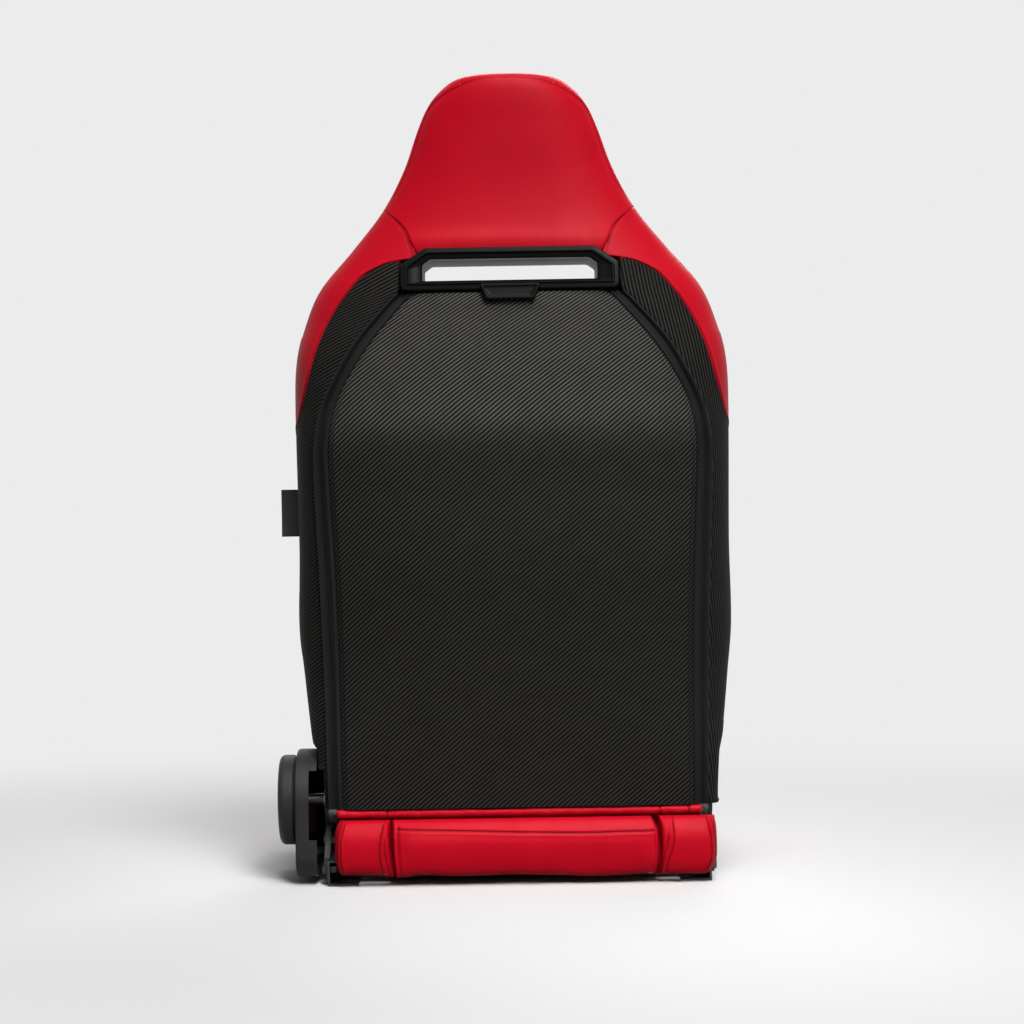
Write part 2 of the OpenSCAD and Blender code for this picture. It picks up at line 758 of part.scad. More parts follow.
// Ring with a raised rim round a sunk face, its foot let into the backrest
module slot_bezel(thick) {
    rim = 9;
    difference() {
        translate([0, 0, -bezel_sink])
            linear_extrude(thick + bezel_sink)
                bezel_outline();
        translate([0, -bezel_low, thick - 3])
            linear_extrude(4)
                slot_outline(bezel_x - rim, bezel_low + rim, bezel_high - 4.5, 22, 3);
    }
}
module rear_bezel_place() {
    translate([0, rear_y(bezel_low) - seat_gap, bezel_low])
        rotate([90 - rear_lean, 0, 0])
            children();
}
module front_bezel_place() {
    translate([0, front_y(bezel_low) + seat_gap, bezel_low])
        mirror([0, 1, 0])
            rotate([90 + front_lean, 0, 0])
                children();
}
// Pockets in the backrest for both bezels
module bezel_spaces() {
    rear_bezel_place()
        bezel_pocket();
    front_bezel_place()
        bezel_pocket();
}
module bezel_pocket() {
    translate([0, 0, -bezel_sink - seat_gap])
        linear_extrude(bezel_sink + 40)
            bezel_outline(seat_gap);
}
module rear_bezel() {
    color("#0c0c0d")
        difference() {
            rear_bezel_place()
                slot_bezel(bezel_t);
            slot_way(slot_x, slot_low, slot_high, 9);
        }
}
module front_bezel() {
    color("#0c0c0d")
        difference() {
            front_bezel_place()
                slot_bezel(front_bezel_t);
            slot_way(slot_x, slot_low, slot_high, 9);
        }
}
module bezel_badge() {
    badge_top = 5;
    badge_foot = -14;
    color("#0c0c0d")
        rear_bezel_place()
            translate([0, 0, bezel_t + seat_gap])
                difference() {
                    linear_extrude(4)
                        polygon([
                            [-35, badge_top], [35, badge_top], [27.5, badge_foot], [-27.5, badge_foot]
                        ]);
                    translate([0, 0, 2.8])
                        linear_extrude(2)
                            polygon([
                                [-31, badge_top - 2.5], [31, badge_top - 2.5],
                                [25, badge_foot + 2.5], [-25, badge_foot + 2.5]
                            ]);
                }
}

// ---- back frame --------------------------------------------------------------------------------

cross_heights = [205, 440];
wire_heights = [260, 310, 360, 490, 540, 590];
module back_frame_hoop() {
    color("#3a3c3f")
        bent_tube(hoop_path, tube_r, tube_bend, tube_wall);
}
module back_cross_tubes() {
    cross_r = 10;
    half = tube_x - tube_r - seat_gap;
    color("#3a3c3f")
        for (z = cross_heights)
            translate([-half, tube_y(z) - 1, z])
                rotate([0, 90, 0])
                    difference() {
                        cylinder(h = 2 * half, r = cross_r, $fn = 48);
                        translate([0, 0, -1])
                            cylinder(h = 2 * half + 2, r = cross_r - tube_wall, $fn = 48);
                    }
}
module back_wires() {
    color("#8c8f93")
        for (z = wire_heights) {
            half = (z < 540 ? tube_x : mix(tube_x, neck_x, (z - 540) / 150)) - tube_r - 1.2;
            translate([-half, tube_y(z) + tube_r - wire_d / 2 - seat_gap, z])
                rotate([0, 90, 0])
                    cylinder(h = 2 * half, r = wire_d / 2, $fn = 24);
        }
}

// Outline of a recliner arm in the side view: round the pivot, then up along the tube
arm_r = 30;
arm_top = 258;
arm_half = 13;
arm_waist = 165;
module arm_stem(grow = 0) {
    polygon([
        [pivot_y - arm_r + 3 - grow, pivot_z], [pivot_y + arm_r - 3 + grow, pivot_z],
        [tube_y(arm_waist) + arm_half + grow, arm_waist],
        [tube_y(arm_top) + arm_half + grow, arm_top + grow],
        [tube_y(arm_top) - arm_half - grow, arm_top + grow],
        [tube_y(arm_waist) - arm_half - grow, arm_waist]
    ]);
}
module arm_outline() {
    translate([pivot_y, pivot_z])
        circle(r = arm_r, $fn = 72);
    arm_stem();
}
module arm_space(side) {
    translate([side < 0 ? -arm_in - plate_t - 7 : arm_in - seat_gap, 0, 0])
        rotate([90, 0, 90])
            linear_extrude(plate_t + 7 + seat_gap)
                arm_stem(1);
}
module at_side(side, inner, thick) {
    translate([side < 0 ? -inner - thick : inner, 0, 0])
        rotate([90, 0, 90])
            linear_extrude(thick)
                children();
}
module recliner_arm(side) {
    color("#303236")
        at_side(side, arm_in, plate_t)
            difference() {
                arm_outline();
                translate([pivot_y, pivot_z])
                    circle(r = shaft_r + running_gap, $fn = 64);
            }
}
module recliner_arm_left() { recliner_arm(-1); }
module recliner_arm_right() { recliner_arm(1); }

// ---- recliner discs ----------------------------------------------------------------------------

module disc_moving(side) {
    color("#b3b6b9")
        at_side(side, moving_in, disc_t)
            translate([pivot_y, pivot_z])
                difference() {
                    circle(r = disc_r, $fn = 96);
                    circle(r = spigot_r + running_gap, $fn = 96);
                }
}
module disc_moving_left() { disc_moving(-1); }
module disc_moving_right() { disc_moving(1); }

// Fixed half: a disc with the spigot that carries the moving half
module disc_fixed(side) {
    color("#c2c5c8") {
        difference() {
            union() {
                at_side(side, fixed_in, disc_t)
                    translate([pivot_y, pivot_z])
                        circle(r = disc_r, $fn = 96);
                at_side(side, moving_in + disc_gap, disc_t + 1)
                    translate([pivot_y, pivot_z])
                        circle(r = spigot_r, $fn = 96);
            }
            at_side(side, moving_in - 1, 2 * disc_t + 4)
                translate([pivot_y, pivot_z])
                    circle(r = shaft_r + running_gap, $fn = 64);
        }
    }
}
module disc_fixed_left() { disc_fixed(-1); }
module disc_fixed_right() { disc_fixed(1); }

// ---- base frame --------------------------------------------------------------------------------

ear_top = 76;
ear_front = -146;
ear_rear = -236;
// The ear's and the bracket's rear edge slopes clear of the backrest's foot as it reclines
neck = [[-201, 64], [ear_rear, 32]];
bracket_bolts_at = [[-196, 49], [-166, 18], [-224, 18]];
bracket_bolt_r = 4;
module side_rail(side) {
    color("#26282b")
        difference() {
            union() {
                // Web, with the ear that carries the lower bracket
                at_side(side, rail_x - rail_wall, rail_wall)
                    polygon([
                        [rail_rear, 0], [rail_front, 0], [rail_front, rail_h], [ear_front + 30, rail_h],
                        [ear_front, ear_top - 20], [ear_front, ear_top], [neck[0][0] + 10, ear_top],
                        neck[0], neck[1], [rail_rear, rail_h]
                    ]);
                // Foot and upper flange
                at_side(side, rail_x - rail_foot, rail_foot)
                    translate([rail_rear, 0])
                        square([rail_front - rail_rear, rail_wall]);
                at_side(side, rail_x - 22, 22)
                    translate([rail_rear, rail_h - rail_wall])
                        square([rail_front - rail_rear, rail_wall]);
            }
            // Room for the recliner disc above the ear
            at_side(side, rail_x - 10, 20)
                translate([pivot_y, pivot_z])
                    circle(r = disc_r + 1.5, $fn = 96);
            for (y = [-mount_y / 2, mount_y / 2])
                translate([side * mount_x / 2, y, -1])
                    cylinder(h = rail_wall + 2, r = mount_r, $fn = 48);
            for (p = bracket_bolts_at)
                translate([side * (rail_x - 10), p[0], p[1]])
                    rotate([0, side * 90, 0])
                        cylinder(h = 20, r = bracket_bolt_r + seat_gap, $fn = 32);
        }
}
module side_rail_left() { side_rail(-1); }
module side_rail_right() { side_rail(1); }

base_tube_r = base_tube_d / 2;
base_tube_z = rail_h - spring_d - base_tube_r - seat_gap;
front_tube_y = 180;
rear_tube_y = -204;
module base_cross_tubes() {
    half = rail_x - rail_wall - seat_gap;
    color("#303236")
        for (y = [front_tube_y, rear_tube_y])
            translate([-half, y, base_tube_z])
                rotate([0, 90, 0])
                    difference() {
                        cylinder(h = 2 * half, r = base_tube_r, $fn = 48);
                        translate([0, 0, -1])
                            cylinder(h = 2 * half + 2, r = base_tube_r - tube_wall, $fn = 48);
                    }
}

spring_z = base_tube_z + base_tube_r + spring_d / 2 + seat_gap;
cushion_base = rail_h + flat_gap;
module seat_springs() {
    swing = 22;
    pitch = 32;
    loops = floor((front_tube_y - rear_tube_y) / pitch);
    span = 2 * (cushion_x - swing - 18);
    color("#8c8f93")
        for (k = [0 : spring_count - 1])
            translate([cushion_shift - span / 2 + span * k / (spring_count - 1), rear_tube_y, spring_z]) {
                for (i = [0 : loops])
                    translate([-swing + pitch / 2, i * pitch, 0])
                        rotate([0, 90, 0])
                            cylinder(h = 2 * swing - pitch, r = spring_d / 2, $fn = 16);
                for (i = [0 : loops - 1])
                    translate([(i % 2 == 0 ? 1 : -1) * (swing - pitch / 2), (i + 0.5) * pitch, 0])
                        rotate([0, 0, i % 2 == 0 ? -90 : 90])
                            rotate_extrude(angle = 180, $fn = 24)
                                translate([pitch / 2, 0])
                                    circle(r = spring_d / 2, $fn = 16);
            }
}

module weld_nuts() {
    nut_h = 7;
    nut_bore = 4;
    color("#9a9da1")
        for (x = [-mount_x / 2, mount_x / 2], y = [-mount_y / 2, mount_y / 2])
            translate([x, y, rail_wall])
                difference() {
                    cylinder(h = nut_h, r = 7.5, $fn = 6);
                    translate([0, 0, -1])
                        cylinder(h = nut_h + 2, r = nut_bore, $fn = 48);
                }
}

// Lower bracket: round the pivot and down over the rail's ear
bracket_r = 33;
module lower_bracket(side) {
    outline = concat(
        [for (a = steps(-20, 245, 28)) [pivot_y + bracket_r * cos(a), pivot_z + bracket_r * sin(a)]],
        [
            neck[1], [ear_rear, 14], [ear_rear + 5, 9], [ear_front - 5, 9],
            [ear_front, 14], [ear_front, 44]
        ]
    );
    color("#c2c5c8")
        at_side(side, bracket_in, plate_t)
            difference() {
                polygon(outline);
                translate([pivot_y, pivot_z])
                    circle(r = shaft_r + running_gap, $fn = 64);
                for (p = bracket_bolts_at)
                    translate([p[0], p[1]])
                        circle(r = bracket_bolt_r + seat_gap, $fn = 32);
            }
}
module lower_bracket_left() { lower_bracket(-1); }
module lower_bracket_right() { lower_bracket(1); }

module bracket_bolts() {
    color("#9a9da1")
        for (side = [-1, 1], p = bracket_bolts_at)
            translate([side * bracket_out, p[0], p[1]])
                rotate([0, side * 90, 0]) {
                    cylinder(h = 3, r = 7, $fn = 6);
                    translate([0, 0, -plate_t - rail_wall - 7])
                        cylinder(h = plate_t + rail_wall + 8, r = bracket_bolt_r, $fn = 32);
                    // Nut inside the rail
                    translate([0, 0, -plate_t - (bracket_in - rail_x) - rail_wall - 6])
                        cylinder(h = 6, r = 7, $fn = 6);
                }
}

// ---- recliner cover and drive ------------------------------------------------------------------

cover_front_y = 96;
cover_front_r = 24;
cover_foot = 9;
// Side outline: the round hub, a tail along the rail and a foot with a rounded rear corner
cover_corner_r = 26;
module cover_outline(inset = 0) {
    front = [cover_front_y, cover_foot + cover_front_r];
    corner = [pivot_y - hub_r + cover_corner_r, cover_foot + cover_corner_r];
    span = norm([pivot_y, pivot_z] - front);
    // Direction, from both rounds' centres, of the straight upper edge between them
    upper = atan2(pivot_z - front[1], pivot_y - front[0]) - acos((hub_r - cover_front_r) / span);
    function arc(centre, r, from, to, n) =
        [for (a = steps(from, to, n)) centre + (r - inset) * [cos(a), sin(a)]];
    polygon(concat(
        arc([pivot_y, pivot_z], hub_r, upper, 180, 24),
        arc(corner, cover_corner_r, 180, 270, 12),
        arc(front, cover_front_r, 270, 360 + upper, 30)
    ));
}
module recliner_cover() {
    round_r = 5;
    turns = [0, 30, 55, 90];
    rear_cut = pivot_y - 20;
    color("#151516")
        difference() {
            union() {
                at_side(-1, cover_in, cover_out - round_r - cover_in)
                    cover_outline();
                for (i = [1 : len(turns) - 1])
                    at_side(-1, cover_out - round_r - 1, 1 + round_r * sin(turns[i]))
                        cover_outline(round_r * (1 - cos(turns[i - 1] / 2 + turns[i] / 2)));
            }
            // Hollow inside, open towards the bracket
            at_side(-1, cover_in - 1, cover_out - cover_wall - cover_in + 1)
                cover_outline(cover_wall + 1);
            // Rear cut-out beside the arm
            translate([-cover_in - 9, -300, 54])
                cube([20, 300 + rear_cut, 80]);
            translate([-cover_out - 5, pivot_y, pivot_z])
                rotate([0, 90, 0])
                    cylinder(h = 40, r = shaft_r + 1, $fn = 64);
            for (p = cover_screws_at)
                translate([-cover_out - 5, p[0], p[1]])
                    rotate([0, 90, 0])
                        cylinder(h = 40, r = screw_r + seat_gap, $fn = 32);
        }
    // Posts that stand the cover off the bracket and the rail
    color("#151516")
        for (p = cover_screws_at)
            translate([-cover_out + cover_wall - 0.5, p[0], p[1]])
                rotate([0, 90, 0])
                    difference() {
                        cylinder(h = cover_out - cover_wall - post_end(p) + 0.5 - seat_gap, r = 6, $fn = 48);
                        translate([0, 0, -1])
                            cylinder(h = 60, r = screw_r + seat_gap, $fn = 32);
                    }
}
cover_screws_at = [[-160, 30], [70, 22]];
screw_r = 2.2;
function post_end(p) = p[0] < ear_front ? bracket_out : rail_x;
module cover_screws() {
    color("#1c1c1e")
        for (p = cover_screws_at)
            translate([-cover_out - 2.2, p[0], p[1]])
                rotate([0, 90, 0])
                    union() {
                        cylinder(h = 2.2, r = 4.2, $fn = 32);
                        cylinder(h = cover_out + 2.2 - post_end(p), r = screw_r, $fn = 32);
                    }
}

knob_out = cover_out + knob_gap + knob_t;
module recliner_knob() {
    r = knob_d / 2;
    edge = 7;
    rim = [for (a = steps(0, 90, 8)) [r - edge + edge * cos(a), knob_t - edge + edge * sin(a)]];
    color("#131314")
        translate([-cover_out - knob_gap, pivot_y, pivot_z])
            rotate([0, -90, 0])
                rotate_extrude($fn = 128)
                    polygon(concat(
                        [[shaft_r, 0], [16, 0], [16, 9], [r - 6, 9], [r - 6, 0], [r - 2, 0], [r, 3]],
                        rim,
                        [[30, knob_t], [26, knob_t - 2.5], [shaft_r, knob_t - 2.5]]
                    ));
}
module cross_shaft() {
    color("#a6a9ac")
        translate([-knob_out + 4, pivot_y, pivot_z])
            rotate([0, 90, 0])
                cylinder(h = knob_out - 4 + shaft_right, r = shaft_r, $fn = 64);
}
module shaft_clips() {
    color("#6d7073")
        for (x = [-bracket_out - 2.2, bracket_out + 0.4])
            translate([x, pivot_y, pivot_z])
                rotate([0, 90, 0])
                    difference() {
                        cylinder(h = 1.6, r = 11, $fn = 48);
                        translate([0, 0, -1])
                            cylinder(h = 4, r = shaft_r, $fn = 64);
                    }
}

// ---- cushion -----------------------------------------------------------------------------------

trough_r = 58;
trough_floor = pivot_z - trough_r + 2;
cushion_rear = lip_rear + lip_t + flat_gap;
front_roll_y = 205;
// Seating surface along Y, from the wall behind the backrest's foot to the front roll
seat_points = [
    [-130, seat_z - 8], [-100, seat_z - 2], [-40, seat_z], [60, seat_z + 6], [150, seat_z + 20],
    [205, seat_z + 26]
];
module cushion_centre() {
    channel_rear = -70;
    channel_count = floor((front_roll_y - channel_rear) / seat_channel_pitch);
    channel_front = channel_rear + channel_count * seat_channel_pitch;
    places = concat(
        [front_roll_y - seat_gap, front_roll_y - 10],
        [for (i = [channel_count * 4 : -1 : 0]) channel_rear + i * seat_channel_pitch / 4],
        [-95, -115, -125]
    );
    function top_row(t) = concat(
        [
            for (y = places)
                let (sewn = y <= channel_front && y >= channel_rear)
                    let (c = sewn ? channels(y - channel_rear, seat_channel_pitch) : 0)
                        [y, smooth(y, seat_points) + c * (1 - pow(t, 6)) + 5 * (1 - t * t) - 7 * pow(t, 8)]
        ],
        [for (a = steps(4, -78, 7)) [pivot_y + trough_r * cos(a), pivot_z + trough_r * sin(a)]],
        [[-215, trough_floor], [cushion_rear, trough_floor + 2]]
    );
    across = [-1, -0.93, -0.6, 0, 0.6, 0.93, 1];
    color("#c8101c")
        translate([cushion_shift, 0, 0])
            sheet_solid(
                [for (t = across) [for (p = top_row(abs(t))) [t * (cushion_x - seat_gap), p[0], p[1]]]],
                [
                    for (t = across)
                        [for (p = top_row(abs(t))) [t * (cushion_x - seat_gap), p[0], cushion_base]]
                ],
                turned = true
            );
}

// Superellipse within a box: the power rounds or squares its corners
function round_box(a, half, power) = [
    half[0] * sign(cos(a)) * pow(abs(cos(a)), power),
    half[1] * sign(sin(a)) * pow(abs(sin(a)), power)
];

module cushion_front_roll() {
    high = seat_z + 24;
    low = 22;
    half = [(cushion_front - front_roll_y) / 2, (high - low) / 2];
    middle = [(cushion_front + front_roll_y) / 2, (high + low) / 2];
    function ring(t) = [
        for (a = [9 : 18 : 351])
            let (
                p = middle + round_box(a, half * (1 - 0.05 * pow(t, 8)), 0.5),
                y = max(p[0], front_roll_y + seat_gap)
            )
                [t * (cushion_x - seat_gap), y, p[1]]
    ];
    color("#c8101c")
        translate([cushion_shift, 0, 0])
            ring_solid([for (t = [-1, -0.96, -0.7, 0, 0.7, 0.96, 1]) ring(t)], turned = true);
}

// Rear roll: convex towards the rear, its upper edge round, with a sewn line above the middle
roll_half = [lip_t, (lip_top - lip_bottom) / 2];
roll_middle = [lip_rear + lip_t, (lip_top + lip_bottom) / 2];
module cushion_rear_roll() {
    function ring(t) = let (drawn = 3 * pow(abs(t), 10))
        [
            for (a = [90 : 12 : 270])
                let (
                    p = round_box(a, roll_half - [drawn, drawn], 0.45),
                    sewn = abs(p[1] - 0.55 * roll_half[1]) < 4 ? 1.5 : 0
                )
                    [t * (cushion_x - 0.5), roll_middle[0] + min(p[0] + sewn, 0), roll_middle[1] + p[1]]
        ];
    color("#c8101c")
        translate([cushion_shift, 0, 0])
            ring_solid(
                [for (t = [-1, -0.985, -0.94, -0.8, -0.4, 0, 0.4, 0.8, 0.94, 0.985, 1]) ring(t)],
                turned = true
            );
}

// Thigh bolster: sections across X at places along Y. Its rear end is the roll's end section,
// and it is thin where the backrest's foot turns above it.
thigh_top = [
    [-128, 92], [-110, 112], [-85, 140], [-55, 160], [0, 184], [70, 190], [150, 176], [220, 142],
    [250, 108], [262, 84]
];
module thigh_bolster(side) {
    shift = side * cushion_shift;
    inner = cushion_x + shift + seat_gap;
    function ring(y, low, high, seat, foot, out, scale = 1) = let (
            middle = [(inner + out) / 2, (low + high) / 2],
            half = [(out - inner) / 2 * scale, (high - low) / 2 * scale]
        )
        [
            for (a = [9 : 18 : 351])
                let (
                    p = middle + round_box(a, half, 0.42),
                    rise = clamp((p[0] - inner) / (0.5 * (out - inner)), 0, 1),
                    top = mix(seat, high, sin(90 * rise)),
                    z = low + (p[1] - low) * (top - low) / (high - low),
                    widest = mix(foot, out, clamp((p[1] - low) / (0.8 * (high - low)), 0, 1))
                )
                    [side * min(p[0], widest), y, z]
        ];
    function end_ring(y, scale) = let (out = cushion_end_x + shift)
        ring(y, lip_bottom, lip_top, lip_top, out, out, scale);
    foot_x = rail_x - 4;
    function thin_ring(y) = ring(y, cushion_base, trough_floor, trough_floor, foot_x, foot_x);
    function full_ring(y) = let (
            high = smooth(y, thigh_top),
            seat = min(smooth(clamp(y, -130, 205), seat_points) - 3, high - 3),
            out = mix(foot_x, cushion_wide_x + shift, clamp((high - 100) / 60, 0, 1))
        )
        ring(y, cushion_base, high, seat, foot_x, out);
    rings = concat(
        [
            end_ring(lip_rear, 0.75), end_ring(lip_rear + 1.5, 0.9), end_ring(lip_rear + 6, 1),
            end_ring(lip_rear + lip_t - 1, 1)
        ],
        [thin_ring(lip_rear + lip_t), thin_ring(-140)],
        [for (y = concat([-126], steps(-112, 200, 10), [225, 244, 255, 261])) full_ring(y)]
    );
    color("#c8101c")
        difference() {
            ring_solid(rings, turned = side < 0);
            if (side < 0)
                at_side(-1, cover_in - seat_gap, cushion_wide_x)
                    cover_outline(-seat_gap);
        }
}
module thigh_bolster_left() { thigh_bolster(-1); }
module thigh_bolster_right() { thigh_bolster(1); }

side_rail_left();
side_rail_right();
base_cross_tubes();
seat_springs();
weld_nuts();
lower_bracket_left();
lower_bracket_right();
disc_fixed_left();
disc_fixed_right();
bracket_bolts();
recliner_cover();
cover_screws();
cushion_centre();
cushion_front_roll();
cushion_rear_roll();
thigh_bolster_left();
thigh_bolster_right();
back_frame_hoop();
back_cross_tubes();
back_wires();
recliner_arm_left();
recliner_arm_right();
disc_moving_left();
disc_moving_right();
rear_panel();
edge_band_left();
edge_band_right();
side_panel_left();
side_panel_right();
side_bolster_left();
side_bolster_right();
lower_pad_left();
lower_pad_right();
front_pad();
headrest();
slot_sleeve();
rear_bezel();
front_bezel();
bezel_badge();
hem_roll();
side_tag();
recliner_knob();
cross_shaft();
shaft_clips();
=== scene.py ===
import bpy
import math
import numpy as np
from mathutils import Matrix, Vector
from mathutils.bvhtree import BVHTree


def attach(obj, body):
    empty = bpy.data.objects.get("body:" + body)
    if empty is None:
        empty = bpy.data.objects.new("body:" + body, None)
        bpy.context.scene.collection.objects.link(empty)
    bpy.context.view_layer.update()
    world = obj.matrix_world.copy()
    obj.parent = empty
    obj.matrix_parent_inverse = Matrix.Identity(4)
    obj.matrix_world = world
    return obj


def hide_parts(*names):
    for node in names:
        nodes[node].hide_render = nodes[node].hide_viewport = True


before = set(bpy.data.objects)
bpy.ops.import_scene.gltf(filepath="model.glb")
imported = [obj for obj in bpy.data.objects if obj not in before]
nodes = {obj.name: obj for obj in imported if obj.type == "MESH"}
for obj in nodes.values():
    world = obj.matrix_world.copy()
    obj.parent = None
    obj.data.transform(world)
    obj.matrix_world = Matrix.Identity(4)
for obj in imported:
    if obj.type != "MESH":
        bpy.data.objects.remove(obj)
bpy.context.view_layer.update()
mm = 0.001
print("frame loaded:", len(nodes), "nodes")

# small tools

def smoothCurve(t, pairs):
    # cubic through (place, value) pairs, each slope taken from its two neighbours
    x, v = np.array(pairs, float).T
    m = np.empty_like(v)
    m[1:-1] = (v[2:] - v[:-2]) / (x[2:] - x[:-2])
    m[0], m[-1] = (v[1] - v[0]) / (x[1] - x[0]), (v[-1] - v[-2]) / (x[-1] - x[-2])
    t = np.clip(t, x[0], x[-1])
    i = np.clip(np.searchsorted(x, t, side="right") - 1, 0, len(x) - 2)
    h = x[i + 1] - x[i]
    u = (t - x[i]) / h
    return ((2 * u**3 - 3 * u**2 + 1) * v[i] + (u**3 - 2 * u**2 + u) * h * m[i]
            + (3 * u**2 - 2 * u**3) * v[i + 1] + (u**3 - u**2) * h * m[i + 1])

def mix(a, b, t):
    # a at t = 0, b at t = 1, and in a straight line between
    return a + (b - a) * t

def bell(d, width):
    # 1 on the line, falling off over width
    return np.exp(-(d / width) ** 2)

def ease(t):
    # 0 below 0, 1 above 1, and 3 t squared less 2 t cubed between
    t = np.clip(t, 0, 1)
    return t * t * (3 - 2 * t)

def power(v, e):
    # v to the power e, with negative values taken as 0
    return np.maximum(v, 0) ** e

def joined(x, y, z):
    # arrays of matching shapes put together as points
    return np.stack(np.broadcast_arrays(x, y, z), -1)

def sideName(side):
    # left for -1 and right for 1
    return "left" if side < 0 else "right"

def addObject(name, data):
    # a new object of a mesh, lamp or camera, put in the scene
    made = bpy.data.objects.new(name, data)
    bpy.context.scene.collection.objects.link(made)
    return made

def signedPower(v, e):
    # v's size to the power e, with v's sign kept
    return np.sign(v) * np.abs(v) ** e

def makeObject(name, points, faces, uv=None, paintedShade=None, sharp=None):
    # points in millimetres; faces turned outwards by the sign of the closed shape's volume
    points = np.asarray(points, float).reshape(-1, 3)
    solid = 0.0
    for group in faces:
        a, b, c = points[group[:, 0]], points[group[:, 1]], points[group[:, 2]]
        solid += np.einsum("ij,ij->i", a, np.cross(b, c)).sum()
        if group.shape[1] == 4:
            d = points[group[:, 3]]
            solid += np.einsum("ij,ij->i", a, np.cross(c, d)).sum()
    if solid < 0:
        faces = [group[:, ::-1] for group in faces]
    mesh = bpy.data.meshes.new(name)
    mesh.from_pydata((points * mm).tolist(), [], [f for group in faces for f in group.tolist()])
    mesh.polygons.foreach_set("use_smooth", np.ones(len(mesh.polygons), bool))
    if uv is not None:
        corner = np.empty(len(mesh.loops), np.int32)
        mesh.loops.foreach_get("vertex_index", corner)
        layer = mesh.uv_layers.new(name="cloth")
        layer.data.foreach_set("uv", np.asarray(uv, np.float32).reshape(-1, 2)[corner].ravel())
    # the shade values become a point attribute that the materials read as painted shade in grooves, seams and
    # creases
    if paintedShade is not None:
        shade = mesh.attributes.new("paintedShade", "FLOAT", "POINT")
        shade.data.foreach_set("value", np.clip(paintedShade, 0, 1).astype(np.float32).ravel())
    if sharp:
        mesh.set_sharp_from_angle(angle=math.radians(sharp))
    mesh.validate()
    mesh.update()
    return addObject(name, mesh)

def gridFaces(rows, cols, start=0, wrap=False):
    # one quad for each cell of a grid numbered row by row, closed across where wrap is set
    r = np.arange(rows - 1)[:, None] * cols + start
    c = np.arange(cols if wrap else cols - 1)[None, :]
    n = (c + 1) % cols
    return np.stack([r + c, r + n, r + cols + n, r + cols + c], -1).reshape(-1, 4)

def slab(name, outer, inner, uv=None, paintedShade=None, sharp=50):
    # a closed skin: an outer and an inner sheet of points and the four strips between them
    rows, cols = outer.shape[:2]
    n = rows * cols
    front = gridFaces(rows, cols)
    back = gridFaces(rows, cols, n)[:, ::-1]
    ring = np.concatenate([
        np.arange(cols), np.arange(1, rows) * cols + cols - 1,
        (rows - 1) * cols + np.arange(cols - 2, -1, -1), np.arange(rows - 2, 0, -1) * cols])
    after = np.roll(ring, -1)
    rim = np.stack([ring, ring + n, after + n, after], -1)
    points = np.concatenate([outer.reshape(-1, 3), inner.reshape(-1, 3)])
    if uv is not None:
        uv = np.concatenate([uv.reshape(-1, 2)] * 2)
    if paintedShade is not None:
        paintedShade = np.concatenate([paintedShade.ravel()] * 2)
    return makeObject(name, points, [front, back, rim], uv, paintedShade, sharp)

def ringed(name, rings, uv=None, paintedShade=None, sharp=None):
    # closed rings one after another, each end closed by a fan to its middle
    rows, cols = rings.shape[:2]
    n = rows * cols
    walls = gridFaces(rows, cols, wrap=True)
    c = np.arange(cols)
    low = np.stack([np.full(cols, n), (c + 1) % cols, c], -1)
    top = (rows - 1) * cols
    high = np.stack([np.full(cols, n + 1), top + c, top + (c + 1) % cols], -1)
    points = np.concatenate([rings.reshape(-1, 3), rings[0].mean(0)[None], rings[-1].mean(0)[None]])
    if uv is not None:
        uv = np.concatenate([uv.reshape(-1, 2), uv[0].mean(0)[None], uv[-1].mean(0)[None]])
    if paintedShade is not None:
        paintedShade = np.concatenate([paintedShade.ravel(), [0, 0]])
    return makeObject(name, points, [walls, low, high], uv, paintedShade, sharp)

def arcLength(points, axis):
    # running sum of the straight steps between points along an axis
    step = np.linalg.norm(np.diff(points, axis=axis), axis=-1)
    start = np.zeros_like(np.take(step, [0], axis))
    return np.concatenate([start, np.cumsum(step, axis)], axis)

def evenly(path, pitch):
    # points and directions at equal steps along a path
    run = np.concatenate([[0], np.cumsum(np.linalg.norm(np.diff(path, axis=0), axis=1))])
    at = np.arange(pitch / 2, run[-1], pitch)
    place = np.stack([np.interp(at, run, path[:, k]) for k in range(3)], -1)
    ahead = np.stack([np.interp(at + 0.5, run, path[:, k]) for k in range(3)], -1)
    behind = np.stack([np.interp(at - 0.5, run, path[:, k]) for k in range(3)], -1)
    way = ahead - behind
    return place, way / np.linalg.norm(way, axis=1)[:, None]

def stitchRow(name, paths, outward, pitch=4.2, long=2.9, thick=0.55):
    # each stitch is a short thread, round in section, drawn down at both ends
    across = np.linspace(-1, 1, 5)
    turn = np.arange(6) * math.pi / 3
    allPoints = []
    for path, out in zip(paths, outward):
        place, way = evenly(np.asarray(path, float), pitch)
        out = np.broadcast_to(np.asarray(out, float), place.shape)
        side = np.cross(way, out)
        side /= np.linalg.norm(side, axis=1)[:, None]
        out = np.cross(side, way)
        body = thick * np.sqrt(np.maximum(1 - across**2, 0.08))
        dip = -0.9 * thick * across**2
        spin = (np.cos(turn)[None, :, None] * out[:, None, None]
                + np.sin(turn)[None, :, None] * side[:, None, None])
        allPoints.append(
            place[:, None, None] + way[:, None, None] * (across * long / 2)[None, :, None, None]
            + out[:, None, None] * dip[None, :, None, None] + spin * body[None, :, None, None])
    rings = np.concatenate(allPoints)
    count = len(rings)
    one = gridFaces(5, 6, wrap=True)
    sides = (one[None] + (np.arange(count) * 30)[:, None, None]).reshape(-1, 4)
    caps = np.array([[0, 5, 4, 3], [0, 3, 2, 1], [24, 25, 26, 27], [24, 27, 28, 29]])
    ends = (caps[None] + (np.arange(count) * 30)[:, None, None]).reshape(-1, 4)
    return makeObject(name, rings.reshape(-1, 3), [sides[:, ::-1], ends[:, ::-1]])

# materials

